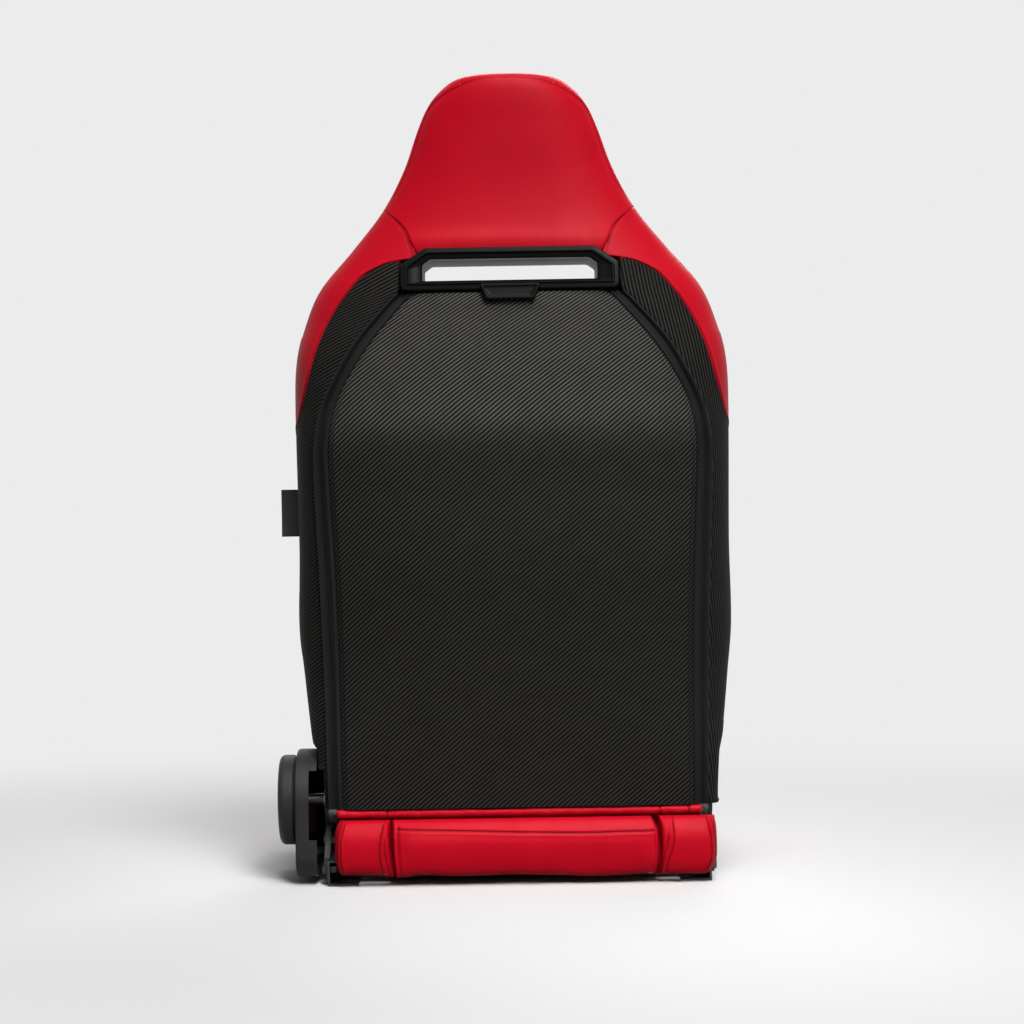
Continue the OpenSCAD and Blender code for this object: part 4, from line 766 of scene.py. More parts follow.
def swell(piece, held, voxel=5.0, pressure=4.0, cap=9.0, frames=20):
    # remeshed evenly and blown up without gravity; each travel d becomes cap times tanh of d over cap
    remesh = piece.modifiers.new("remesh", "REMESH")
    remesh.mode = "VOXEL"
    remesh.voxel_size = voxel * mm
    bake(piece)
    start = pointsOf(piece)
    pinned = held(start)
    group = piece.vertex_groups.new(name="held")
    group.add(np.nonzero(pinned)[0].tolist(), 1.0, "REPLACE")
    cloth = piece.modifiers.new("cloth", "CLOTH")
    rules = cloth.settings
    rules.quality = 4
    rules.mass = 0.4
    rules.tension_stiffness = 12
    rules.compression_stiffness = 12
    rules.shear_stiffness = 8
    rules.bending_stiffness = 2
    rules.use_pressure = True
    rules.uniform_pressure_force = pressure
    rules.effector_weights.gravity = 0
    rules.vertex_group_mass = "held"
    cloth.collision_settings.use_collision = False
    cloth.point_cache.frame_start = 1
    cloth.point_cache.frame_end = frames
    scene = bpy.context.scene
    for step in range(1, frames + 1):
        scene.frame_set(step)
    bake(piece)
    scene.frame_set(1)
    moved = pointsOf(piece) - start
    size = np.linalg.norm(moved, axis=1)
    print("swell", piece.name, "most", round(float(size.max()), 1), "mm, mean",
          round(float(size.mean()), 1))
    moved *= (cap * np.tanh(size / cap) / np.maximum(size, 1e-6))[:, None]
    setPoints(piece, start + moved)
    finer = piece.modifiers.new("finer", "SUBSURF")
    finer.levels = finer.render_levels = 1
    bake(piece)
    piece.data.polygons.foreach_set("use_smooth", np.ones(len(piece.data.polygons), bool))

def sew(piece, depth):
    # push each point in along its normal by depth(x, y, z), which gives the depth and the painted shade of
    # the grooves and seams
    points, normals = pointsOf(piece), normalsOf(piece)
    sunk, dark = depth(points[:, 0], points[:, 1], points[:, 2], normals)
    setPoints(piece, points - normals * sunk[:, None])
    shade = piece.data.attributes.new("paintedShade", "FLOAT", "POINT")
    shade.data.foreach_set("value", np.clip(dark, 0, 1).astype(np.float32))

headPiece = buildHead(head)
sew(headPiece, sewHead)
dress(headPiece, redMaterial, "backrest", ["headrest"])
for side, word in ((-1, "left"), (1, "right")):
    dress(buildBolster(bolster, side), redMaterial, "backrest",
          ["side_bolster_" + word])
print("head and bolsters made")

# seat cushion

seat = {
    "shift": 5.5, "half": 157.6, "pivotY": -186, "pivotZ": 96, "trough": 58, "floor": 40, "rear": -252.6,
    "front": 204.6, "base": 30.4,
    "firstChannel": -70, "channelPitch": 62, "channels": 5, "channelDepth": 5.5,
    "top": [(-130, 104), (-100, 110), (-40, 112), (60, 118), (150, 132), (205, 138)],
    "sideTop": [(-128, 92), (-110, 112), (-85, 140), (-55, 160), (0, 184), (70, 190), (150, 176),
                (220, 142), (250, 108), (262, 84)],
}

def buildSeat(s):
    # profile along Y, from the front down to the trough and the rear ledge, carried across
    y = np.linspace(s["front"], -126, 90)
    a = np.radians(np.linspace(4, -78, 20))
    arcY, arcZ = s["pivotY"] + s["trough"] * np.cos(a), s["pivotZ"] + s["trough"] * np.sin(a)
    t = np.linspace(-1, 1, 61)[:, None]
    top = smoothCurve(y, s["top"])[None] - 3.0 + 5 * (1 - t**2) - 7 * t**8
    upper = joined(s["shift"] + t * s["half"], y[None], top)
    arc = joined(s["shift"] + t * s["half"], arcY[None], arcZ[None])
    ledgeY = np.linspace(-215, s["rear"], 8)
    ledge = joined(s["shift"] + t * s["half"], ledgeY[None], np.linspace(40, 42, 8)[None])
    sheet = np.concatenate([upper, arc, ledge], 1)
    under = sheet.copy()
    under[..., 2] = s["base"]
    return slab("seat_cushion", sheet, under)

def holdSeat(p):
    # held low down, at the two sides, under the back and at the front edge
    return (p[:, 2] < 60) | (np.abs(p[:, 0] - seat["shift"]) > 152) | (p[:, 1] < -112) | (p[:, 1] > 200)

def sewChannels(s, along, across, facing):
    # channels: a bell of the distance to the nearest of the lines across, with small puckers, and painted
    # shade along each channel line
    phase = (along - s["firstChannel"]) / s["channelPitch"]
    nearest = np.abs(phase - np.round(phase)) * s["channelPitch"]
    inside = (phase > -0.5) & (phase < s["channels"] - 0.5)
    line = bell(nearest, 7.0) * inside * facing
    pucker = 0.25 * np.sin(across / 2.6) * bell(nearest, 12) * inside * facing
    return s["channelDepth"] * line - pucker, 0.9 * bell(nearest, 1.6) * inside * facing

def sewSeat(x, y, z, normals):
    # channels on the upper face, fading out towards its sides by t to the power 6
    t = np.clip(np.abs(x - seat["shift"]) / seat["half"], 0, 1)
    return sewChannels(seat, y, x, (normals[:, 2] > 0.3) * (y > -100) * (1 - t**6))

seatPiece = buildSeat(seat)
swell(seatPiece, holdSeat, voxel=6.0, cap=7.0)
sew(seatPiece, sewSeat)
dress(seatPiece, redMaterial, "seat_base", ["cushion_centre"])

frontRoll = {"front": 266.5, "rear": 205.3, "high": 135, "low": 23.5, "power": 0.5}

def roundBox(a, halfA, halfB, power):
    # superellipse of half sizes halfA and halfB: cosine and sine, each to a power
    return halfA * signedPower(np.cos(a), power), halfB * signedPower(np.sin(a), power)

def buildFrontRoll(s):
    # a rounded box in the y-z plane, carried across and drawn in a little at its ends
    a = np.linspace(0, 2 * math.pi, 72, endpoint=False)[None]
    t = np.linspace(-1, 1, 60)[:, None]
    pull = 1 - 0.06 * t**8
    dy, dz = roundBox(a, (s["front"] - s["rear"]) / 2 * pull, (s["high"] - s["low"]) / 2 * pull, s["power"])
    y, z = (s["front"] + s["rear"]) / 2 + dy, (s["high"] + s["low"]) / 2 + dz
    return ringed("front_roll", joined(seat["shift"] + t * seat["half"], y, z))

def holdFront(p):
    # held where it meets the cushion, at its two ends and underneath
    return (p[:, 1] < 214) | (np.abs(p[:, 0] - seat["shift"]) > 153) | (p[:, 2] < 30)

def sewFront(x, y, z, normals):
    # a sewn line across the front's middle, with soft folds beside it
    line = bell(z - 92, 2.2) * (normals[:, 1] > 0.2)
    fold = 0.5 * np.sin(x / 9.0 + np.sin(x / 23.0)) * bell(z - 92, 14) * (normals[:, 1] > 0.2)
    # the second value is painted shade along the sewn line
    return 2.0 * line + fold, 0.9 * bell(z - 92, 1.2) * (normals[:, 1] > 0.2)

frontPiece = buildFrontRoll(frontRoll)
swell(frontPiece, holdFront, voxel=6.0, cap=6.0)
sew(frontPiece, sewFront)
dress(frontPiece, redMaterial, "seat_base", ["cushion_front_roll"])

thigh = {"inner": 158.4, "wide": 243.5, "foot": 219.6, "base": 30.4, "start": -126, "end": 260,
         "power": 0.42}

def buildThigh(s, side):
    # rounded sections across X, low at the rear, high beside the thigh and round at the front
    shift = side * seat["shift"]
    inner = s["inner"] + shift
    y = np.linspace(s["start"], s["end"], 90)[:, None]
    high = smoothCurve(y, seat["sideTop"]) - 2
    seatLine = np.minimum(smoothCurve(np.clip(y, -130, 205), seat["top"]) - 3, high - 3)
    out = mix(s["foot"], s["wide"] + shift, np.clip((high - 100) / 60, 0, 1))
    a = np.linspace(0, 2 * math.pi, 96, endpoint=False)[None] + 0.02
    dx, dz = roundBox(a, (out - inner) / 2, (high - s["base"]) / 2, s["power"])
    x, z = (inner + out) / 2 + dx, (s["base"] + high) / 2 + dz
    rise = np.clip((x - inner) / (0.5 * (out - inner)), 0, 1)
    top = mix(seatLine, high, np.sin(rise * quarter))
    z = s["base"] + (z - s["base"]) * (top - s["base"]) / (high - s["base"])
    widest = mix(s["foot"], out, np.clip((z - s["base"]) / (0.8 * (high - s["base"])), 0, 1))
    x = np.minimum(x, widest)
    rings = joined(side * x, y, z)
    return ringed("thigh_side_" + sideName(side), rings)

def makeThigh(s, side):
    # the built shape, swollen where it is free and sewn along two lines
    piece = buildThigh(s, side)
    inner = s["inner"] + side * seat["shift"]

    def hold(p):
        # held low down, beside the cushion, beside the backrest and behind the cover
        return ((p[:, 2] < 62) | (side * p[:, 0] < inner + 6) | (p[:, 1] < -84)
                | ((side < 0) & (p[:, 2] < 118) & (p[:, 1] < 100)))

    def seams(x, y, z, normals):
        # a seam along the bolster's crest and one low on its outer face
        across = side * x
        crest = smoothCurve(y, seat["sideTop"])
        middle = (inner + thigh["wide"] + side * seat["shift"]) / 2 + 6
        onTop = (normals[:, 2] > 0.2) * ease((y + 100) / 20)
        low = bell(z - 0.45 * crest, 1.8) * (side * normals[:, 0] > 0.5) * ease((y + 90) / 20)
        line = bell(across - middle, 1.8) * onTop
        # the second value is painted shade along both seams
        return 1.8 * line + 1.5 * low, 0.85 * (bell(across - middle, 1.1) * onTop + low)

    swell(piece, hold, voxel=6.0, cap=5.0)
    sew(piece, seams)
    return piece

for side, word in ((-1, "left"), (1, "right")):
    dress(makeThigh(thigh, side), redMaterial, "seat_base", ["thigh_bolster_" + word])
print("seat made")

# rear of the cushion: centre roll and the two end sections

rear = {
    "face": -270, "thick": 17, "floor": 8, "high": 77.5, "power": 0.74,
    "low": [(-215, 14), (-160, 13.4), (-147, 11), (-138, 10.4), (-112, 13), (-80, 11.2), (-45, 11.3),
            (-10, 12), (48, 10.2), (88, 8.4), (122, 9.4), (146, 10.6), (165, 9.6), (230, 9.2)],
    "seam": [(-141, 67.3), (-67, 64.8), (14, 62), (83, 60.6), (118, 61.2), (158, 61.4)],
    "roll": {"left": [(8, -143.8), (20, -145.4), (43, -147.3), (60, -147.9), (78, -147)],
             "right": [(8, 159.4), (20, 160.6), (32, 162.2), (49, 162.3), (60, 161.8), (68, 159),
                       (78, 153.5)]},
    -1: {"outer": [(8, -205.5), (12, -208.5), (22, -212.3), (32, -214), (43, -214.5), (58, -214),
                   (66, -212.8), (72, -211), (78, -208)],
         "stitch": [(8, -201.5), (26, -206.6), (43, -207.2), (60, -206), (78, -200.8)],
         "groove": [(8, -205), (25, -210), (43, -211), (60, -210), (78, -205)],
         "sewn": [(8, -156.4), (20, -159.3), (31, -161.6), (43, -162.2), (55, -161), (66, -158.7),
                  (78, -155.2)],
         "fold": [(8, -149.6), (26, -153.5), (38, -155.6), (48, -155.6), (60, -154.1), (78, -151)],
         "inner": [(8, -145.6), (20, -147.2), (32, -148.4), (43, -149.2), (60, -149.8), (78, -149)]},
    1: {"outer": [(8, 214), (10, 219), (15, 224.5), (22, 227.7), (32, 229.8), (43, 230), (58, 229.6),
                  (66, 229), (78, 227)],
        "stitch": [(8, 215.6), (20, 219), (28, 221.9), (37, 222.8), (49, 222.5), (60, 220.8), (78, 217)],
        "groove": [(8, 220), (22, 225.9), (35, 227.1), (49, 226.5), (64, 225.2), (78, 222)],
        "sewn": [(8, 169.6), (20, 171.2), (29, 173.5), (37, 176.4), (49, 178.7), (60, 179.2), (78, 177.6)],
        "fold": [(8, 163), (22, 165), (34, 168.3), (49, 171.7), (66, 172.9), (78, 172)],
        "inner": [(8, 161), (20, 162.4), (32, 164), (49, 164.1), (60, 164), (70, 163), (78, 161.5)]},
}

def rearSection(s, a, leftEdge, rightEdge, t):
    # rounded box in the y-z plane; across, it runs between two curves of the rear view
    deep, tall = roundBox(a, s["thick"], 1.0, s["power"])
    z = mix(s["floor"], s["high"], (tall + 1) / 2)
    x = mix(smoothCurve(z, leftEdge), smoothCurve(z, rightEdge), t)
    low = smoothCurve(x, s["low"])
    z = low + (z - s["floor"]) * (s["high"] - low) / (s["high"] - s["floor"])
    return x, -deep, z

def rolledIn(distance, radius):
    # quarter of an ellipse: 0 at the edge and 1 from the radius on
    return np.sqrt(1 - np.clip(1 - distance / radius, 0, 1) ** 2.2)

def buildRearRoll(s):
    # the roll is sewn across above its middle, with a welted left end and a folded right end
    t = np.linspace(0, 1, 460)[:, None]
    a = np.linspace(quarter, 3 * quarter, 120)[None]
    x, out, z = rearSection(s, a, s["roll"]["left"], s["roll"]["right"], t)
    fromLeft, fromRight = x - smoothCurve(z, s["roll"]["left"]), smoothCurve(z, s["roll"]["right"]) - x
    toEnd = np.minimum(fromLeft, fromRight)
    aboveSeam = z - smoothCurve(x, s["seam"])
    sewn = bell(aboveSeam, 1.0) * (fromLeft > 6.2) * (fromRight > 4.2)
    thinLeft = bell(fromLeft - 2.6, 0.6) * ease((z - 14) / 8) * ease((76 - z) / 6)
    valley = bell(fromLeft - 7.0, 2.3) * ease((76 - z) / 10)
    thinRight = bell(fromRight - 4.2, 0.8) * ease((62 - z) / 5)
    pulled = np.sin(x / 2.9 + 1.2 * np.sin(x / 13.0)) * bell(aboveSeam + 5, 5) * bell(toEnd, 34)
    pulled = pulled + 0.5 * np.sin((x + 0.4 * z) / 5.3) * bell(toEnd - 12, 9)
    soft = np.sin(x / 19.0 + z / 23.0) + 0.6 * np.sin(x / 8.3 - z / 15.0)
    out = out * rolledIn(toEnd, 4.2) + 3.6 * bell(z - 52, 20) * ease(toEnd / 24)
    beside = bell(aboveSeam - 3.4, 1.7) + bell(aboveSeam + 3.4, 1.7)
    beside = beside * (fromLeft > 6.2) * (fromRight > 4.2)
    out = out - 1.2 * sewn + 0.45 * beside - 0.8 * thinLeft - 1.5 * valley
    out = out - 0.9 * thinRight + 0.9 * bell(fromRight - 1.9, 1.3)
    out = out + 0.22 * pulled + 0.22 * soft * ease(toEnd / 12)
    rings = np.stack([x, s["face"] + s["thick"] - np.maximum(out, 0), z], -1)
    # painted shade along the seam, in the thin grooves and the valley, and round the roll's rolled-in ends
    paintedShade = sewn + 0.9 * thinLeft + 0.45 * valley + 0.7 * thinRight + 0.9 * bell(toEnd, 1.0)
    return ringed("rear_roll", rings, None, paintedShade)

def buildEnd(s, side):
    # outer end of the rear: two rows of stitches follow its outer edge, and one row and a fold its inner edge
    edges = s[side]
    t = np.linspace(0, 1, 190)[:, None]
    a = np.linspace(quarter, 3 * quarter, 120)[None]
    x, out, z = rearSection(s, a, edges["outer"], edges["inner"], t)
    toOuter = np.abs(x - smoothCurve(z, edges["outer"]))
    toInner = np.abs(x - smoothCurve(z, edges["inner"]))
    stitch, groove, sewn, fold = [x - smoothCurve(z, edges[key])
                                  for key in ("stitch", "groove", "sewn", "fold")]
    lines = bell(stitch, 0.8) + bell(groove, 0.8) + bell(sewn, 0.8)
    foldLine = bell(fold, 1.2) * ease((64 - z) / 14)
    between = bell(sewn + side * 3.4, 1.6) + 0.8 * bell(fold + side * 2.6, 1.3)
    out = out * rolledIn(toOuter, 9) * rolledIn(toInner, 5) + 2.4 * bell(z - 54, 20) * ease(toOuter / 16)
    out = (out - 1.0 * lines - 1.1 * foldLine + 0.35 * bell(stitch + side * 2.4, 1.3) + 0.7 * between
           + 0.5 * bell(stitch - side * 1.9, 1.0))
    out = out + 0.12 * np.sin(z / 2.1 + x / 9.0) * bell(toInner - 12, 8)
    rings = np.stack([x, s["face"] + s["thick"] - np.maximum(out, 0), z], -1)
    # painted shade along the sewn lines, the fold and the rolled edges
    paintedShade = lines + 0.8 * foldLine + 0.9 * bell(toInner, 1.6) + 0.25 * bell(toOuter, 3)
    return ringed("rear_end_" + sideName(side), rings, None, paintedShade)

dress(buildRearRoll(rear), redMaterial, "seat_base", ["cushion_rear_roll"])
for side, word in ((-1, "left"), (1, "right")):
    dress(buildEnd(rear, side), redMaterial, "seat_base", ["thigh_bolster_" + word])

def surfaceLine(piece, places, away=(0, -1, 0), reach=120):
    # points of a line laid on a piece, found by casting along the outward direction's opposite
    tree = BVHTree.FromObject(piece, bpy.context.evaluated_depsgraph_get())
    way = Vector(away)
    found, normal = [], []
    for place in np.asarray(places, float).tolist():
        start = Vector(place) * mm + way * reach * mm
        spot, out, _, _ = tree.ray_cast(start, -way)
        if spot is not None:
            found.append(np.array(spot) / mm)
            normal.append(np.array(out))
    return np.array(found), np.array(normal)

def layStitches(name, piece, lines, away=(0, -1, 0), **sizes):
    # rows of stitches along lines laid on the piece
    paths = [evenly(surfaceLine(piece, line, away)[0], 0.8)[0] for line in lines]
    return stitchRow(name, paths, [away] * len(paths), **sizes)

def rearStitches(s):
    # one row along the seam above the roll's middle
    roll = bpy.data.objects["rear_roll"]
    x = np.linspace(-139, 157, 400)
    line = np.stack([x, 0 * x - 270, smoothCurve(x, s["seam"])], -1)
    return layStitches("rear_roll_thread", roll, [line], pitch=3.9, long=2.9, thick=0.46)

def endStitches(s, side, word):
    # three rows along the end's sewn lines
    z = np.linspace(14, 73, 90)
    lines = [np.stack([smoothCurve(z, s[side][key]), 0 * z - 270, z], -1)
             for key in ("stitch", "groove", "sewn")]
    end = bpy.data.objects["rear_end_" + word]
    return layStitches("rear_end_thread_" + word, end, lines, pitch=3.4, long=2.5, thick=0.44)

dress(rearStitches(rear), darkThread, "seat_base")
for side, word in ((-1, "left"), (1, "right")):
    dress(endStitches(rear, side, word), darkThread, "seat_base")
print("rear of the cushion made")

# front of the back: the pad, and the foam beside the recliner

tube = {"foot": 135, "footY": -207, "lowRise": 65, "lowRun": 405,
        "bend": 540, "bendY": -272, "highRise": 10, "highRun": 150, "radius": 12.7}

def tubeY(z):
    # depth of the frame's tube: two straight stretches that meet at the bend
    low = tube["footY"] - (z - tube["foot"]) * tube["lowRise"] / tube["lowRun"]
    high = tube["bendY"] + (z - tube["bend"]) * tube["highRise"] / tube["highRun"]
    return np.where(z < tube["bend"], low, high)

frontPad = {"half": 151.6, "top": 696.2, "radius": 50, "hole": 16,
            "firstChannel": 175, "channelPitch": 78, "channels": 7, "channelDepth": 5.5}

def buildFrontPad(s):
    # front face down to an arc round the pivot; behind, the tube's line and the shaft's hole
    z = np.concatenate([np.linspace(s["top"], 160, 150), np.linspace(156, 118, 8)])
    a = np.radians(np.linspace(-4, -152, 34))
    t = np.linspace(-1, 1, 61)[:, None]
    radius = s["radius"] - 2 * t**8
    frontFace = joined(t * s["half"], frontY(z)[None] - 3.0 - 5 * t**8, z[None])
    arcY = seat["pivotY"] + radius * np.cos(a)[None]
    arcZ = seat["pivotZ"] + radius * np.sin(a)[None]
    arc = joined(t * s["half"], arcY, arcZ)
    backY = np.where(z > 140, tubeY(z) + tube["radius"], seat["pivotY"] + s["hole"] + 4)
    b = np.radians(np.linspace(20, -190, 34))
    behind = np.stack([np.concatenate([backY, seat["pivotY"] + s["hole"] * np.cos(b)]),
                       np.concatenate([z, seat["pivotZ"] + s["hole"] * np.sin(b)])], -1)
    inner = joined(t * s["half"], behind[None, :, 0], behind[None, :, 1])
    return slab("front_cushion", np.concatenate([frontFace, arc], 1), inner)

def holdPad(p):
    # held low down, at the two sides, at the tubes and at the top
    backLine = tubeY(p[:, 2]) + 24
    return (p[:, 2] < 158) | (np.abs(p[:, 0]) > 146) | (p[:, 1] < backLine) | (p[:, 2] > 688)

def sewPad(x, y, z, normals):
    # channels on the front face, fading out towards its sides by t to the power 6
    t = np.clip(np.abs(x) / frontPad["half"], 0, 1)
    return sewChannels(frontPad, z, x, (normals[:, 1] > 0.3) * (1 - t**6))

padPiece = buildFrontPad(frontPad)
swell(padPiece, holdPad, voxel=6.0, cap=6.0)
sew(padPiece, sewPad)
dress(padPiece, redMaterial, "backrest", ["front_pad"])

lowerPad = {"inner": 152.4, "outer": 208.6, "radius": 50, "top": 149.7, "rear": -212, "roll": 0.05}

def buildLowerPad(s, side):
    # the profile is an arc about the pivot closed by a flat top; its edges are rolled in towards both sides
    a = np.radians(np.linspace(-121, 0, 60))
    arc = np.stack([seat["pivotY"] + s["radius"] * np.cos(a), seat["pivotZ"] + s["radius"] * np.sin(a)], -1)
    up = np.stack([np.linspace(-136.2, -141.2, 12), np.linspace(99, 149.6, 12)], -1)
    top = np.stack([np.linspace(-143, -210, 16), np.full(16, s["top"])], -1)
    down = np.stack([np.full(16, s["rear"]), np.linspace(148, 56, 16)], -1)
    outline = np.concatenate([arc, up, top, down])
    centre = outline.mean(0)
    t = np.linspace(-1, 1, 40)[:, None, None]
    shape = centre + (outline[None] - centre) * (1 - s["roll"] * np.abs(t) ** 10)
    low, high = sorted((side * s["inner"], side * s["outer"]))
    x = mix(low, high, (t + 1) / 2) + 0 * shape[..., :1]
    return ringed("lower_foam_" + sideName(side), np.concatenate([x, shape], -1),
                  sharp=60)

for side, word in ((-1, "left"), (1, "right")):
    dress(buildLowerPad(lowerPad, side), redMaterial, "backrest", ["lower_pad_" + word])

# hem roll and side tag

hem = {"half": 214, "shift": 0.6, "y": 4, "z": 82.2, "radius": 5.4, "seams": (-154, 165), "fold": 199}

def buildHem(s):
    # a rolled hem: a tube with soft creases, drawn in where it is joined
    x = np.linspace(-s["half"], s["half"], 520)[:, None] + s["shift"]
    a = np.linspace(0, 2 * math.pi, 40, endpoint=False)[None]
    joints = sum(bell(x - spot, 1.1) for spot in s["seams"]) + 0.9 * bell(x - s["fold"], 1.6)
    ends = power(1 - np.minimum((s["half"] - np.abs(x - s["shift"])) / 3, 1), 2)
    wave = 0.16 * np.sin(x / 6.1 + 2 * a) + 0.12 * np.sin(x / 2.7 - a) + 0.2 * np.sin(x / 21)
    r = s["radius"] * (1 - 0.2 * joints - 0.6 * ends) + wave
    y = float(rearY(88)) + s["y"] + r * np.cos(a)
    z = s["z"] + r * np.sin(a)
    # painted shade where the hem is drawn in at its joints
    paintedShade = 0.8 * joints + 0 * z
    return ringed("hem_piping", joined(x, y, z), None, paintedShade)

dress(buildHem(hem), redMaterial, "backrest", ["hem_roll"])

tag = {"out": 22, "low": 408, "high": 464, "gap": 0.75, "bow": 1.2}

def buildTag(s):
    # woven tape folded into a loop, its two ends in the side seam
    root = -float(halfWidth(436)) + 2.5
    fold = root - 2.5 - s["out"] + s["gap"]
    runX = np.concatenate([np.linspace(root, fold, 26),
                           fold - s["gap"] * np.sin(np.linspace(0.2, math.pi - 0.2, 9)),
                           np.linspace(fold, root, 26)])
    runY = np.concatenate([np.full(26, s["gap"]), s["gap"] * np.cos(np.linspace(0.2, math.pi - 0.2, 9)),
                           np.full(26, -s["gap"])])
    z = np.linspace(s["low"], s["high"], 40)[:, None]
    reach = (root - runX)[None] / 24
    y = float(sideY(436)) + runY[None] + s["bow"] * np.sin((z - s["low"]) / 17) * reach**2
    sheet = joined(runX[None], y, z)
    mesh = bpy.data.meshes.new("side_label")
    mesh.from_pydata((sheet.reshape(-1, 3) * mm).tolist(), [], gridFaces(40, 61).tolist())
    mesh.polygons.foreach_set("use_smooth", np.ones(len(mesh.polygons), bool))
    mesh.update()
    piece = addObject("side_label", mesh)
    wall = piece.modifiers.new("wall", "SOLIDIFY")
    wall.thickness, wall.offset = 0.00055, 0
    return piece

tagPiece = dress(buildTag(tag), labelMaterial, "backrest", ["side_tag"])
print("front pad, hem and label made")

# harness slot: bezels and badge

slot = {
    "low": 687, "high": 738, "outer": (125, 0, 51, 27, 4), "opening": (100, 699, 724, 9, 0.5),
    "rearRim": [(0, -11), (0, -4), (0, 3.2), (0.4, 4.6), (1.2, 5.2), (1.6, 5.27), (4.6, 5.74), (5.0, 5.8),
                (5.6, 6.4), (6.0, 7.7), (6.6, 8.5), (7.3, 8.5), (7.9, 7.7), (8.4, 6.0)],
    "rearFace": [(0.06, 5.4), (0.5, 4.4), (0.82, 3.4), (0.93, 2.5), (0.98, 1.2), (1, -0.5), (1, -4),
                 (1, -11)],
    "frontRim": [(0, -11), (0, -4), (0, 1.6), (0.4, 2.8), (1.2, 3.4), (4.6, 3.9), (5.2, 4.6), (6.2, 5.0),
                 (7.2, 4.6), (7.8, 3.4)],
    "frontFace": [(0.06, 3.0), (0.5, 2.6), (0.85, 2.0), (0.95, 0.8), (1, -0.8), (1, -5), (1, -11)],
    "badge": [(-27.5, -14), (27.5, -14), (35, 5), (-35, 5)],
    "badgeSteps": [(0, 7.5), (0, 8.2), (0, 10.4), (0.5, 11.5), (1.3, 12), (2.6, 12), (3.3, 11.6),
                   (3.9, 10.5), (4.6, 10.2), (6.5, 10.1), (8.5, 10.1)],
}

def slotCorners(half, low, high, cut, lowerCut, inset=0.0):
    # eight corners, moved in by inset; a cut corner gets shorter as it moves in
    half, low, high = half - inset, low + inset, high - inset
    cut, lowerCut = max(cut - 0.586 * inset, 0.5), max(lowerCut - 0.586 * inset, 0.5)
    return np.array([[-half + lowerCut, low], [half - lowerCut, low],
                     [half, low + lowerCut], [half, high - cut * 0.72],
                     [half - cut, high], [-half + cut, high],
                     [-half, high - cut * 0.72], [-half, low + lowerCut]])

def softened(corners, radius):
    # each corner becomes a short curve; straight edges get points between
    before, after = np.roll(corners, 1, 0), np.roll(corners, -1, 0)
    toBefore, toAfter = before - corners, after - corners
    lengthB = np.linalg.norm(toBefore, axis=1)[:, None]
    lengthA = np.linalg.norm(toAfter, axis=1)[:, None]
    start = corners + toBefore / lengthB * np.minimum(radius, lengthB * 0.45)
    end = corners + toAfter / lengthA * np.minimum(radius, lengthA * 0.45)
    u = np.linspace(0, 1, 7)[None, :, None]
    curve = (1 - u)**2 * start[:, None] + 2 * u * (1 - u) * corners[:, None] + u**2 * end[:, None]
    w = np.linspace(0, 1, 14)[None, 1:-1, None]
    straight = mix(end[:, None], np.roll(start, -1, 0)[:, None], w)
    return np.concatenate([curve, straight], 1).reshape(-1, 2)

def slotLean(s, faceY):
    # cosine and sine of the face's lean between the slot's lower and upper edges
    lean = math.atan2(float(faceY(s["high"]) - faceY(s["low"])), s["high"] - s["low"])
    return math.cos(lean), math.sin(lean)

def buildBezel(s, name, rim, face, faceY, turned):
    # rings run in from the outline by the rim's distances, then on to the opening, each at its own height
    c, sn = slotLean(s, faceY)
    side = 1 if turned else -1
    base = float(faceY(s["low"])) + 0.2 * side
    opening = softened(slotCorners(*s["opening"]), 2.0)
    lip = softened(slotCorners(*s["outer"], inset=rim[-1][0]), 2.0)
    rings = []
    for inset, t, h in [(inset, 0, h) for inset, h in rim] + [(0, t, h) for t, h in face]:
        # the opening keeps its height in the world, so its place on the face follows the height above it
        hole = np.stack([opening[:, 0], (opening[:, 1] - s["low"] + side * h * sn) / c], -1)
        flat = mix(lip, hole, t) if t else softened(slotCorners(*s["outer"], inset=inset), 2.6)
        y = base + flat[:, 1] * sn + side * h * c
        z = s["low"] + flat[:, 1] * c - side * h * sn
        rings.append(np.stack([flat[:, 0], y, z], -1))
    rings = np.array(rings)
    rows, cols = rings.shape[:2]
    walls = gridFaces(rows, cols, wrap=True)
    k = np.arange(cols)
    under = np.stack([(rows - 1) * cols + k, (rows - 1) * cols + (k + 1) % cols, (k + 1) % cols, k], -1)
    return makeObject(name, rings.reshape(-1, 3), [walls, under], sharp=40)

dress(buildBezel(slot, "slot_frame_rear", slot["rearRim"], slot["rearFace"], rearY, False),
      glossPlastic, "backrest", ["rear_bezel"])
dress(buildBezel(slot, "slot_frame_front", slot["frontRim"], slot["frontFace"], frontY, True),
      glossPlastic, "backrest", ["front_bezel"])

def buildBadge(s):
    # a trapezoid block with a raised, rounded lip round a bare sunk face
    c, sn = slotLean(s, rearY)
    base = float(rearY(s["low"])) - 0.2
    outline = np.array(s["badge"], float)
    centre = outline.mean(0)
    rings = []
    for inset, h in s["badgeSteps"]:
        shape = centre + (outline - centre) * (1 - np.array([inset / 31, inset / 9.5]))
        flat = softened(shape, 2.4)
        rings.append(np.stack([flat[:, 0], base + flat[:, 1] * sn - h * c,
                               s["low"] + flat[:, 1] * c + h * sn], -1))
    return ringed("slot_badge", np.array(rings), sharp=40)

dress(buildBadge(slot), glossPlastic, "backrest", ["bezel_badge"])

bandStitches = {"low": 96, "high": 668, "across": 0.4, "pitch": 4.4, "long": 3.1, "thick": 0.4}

def bandThread(s, side):
    # the line of stitches along the inner bead of the edge band
    z = np.linspace(s["low"], s["high"], 500)
    x = mix(panelX(z), bandX(z), s["across"])
    return np.stack([side * x, 0 * z - 340, z], -1)

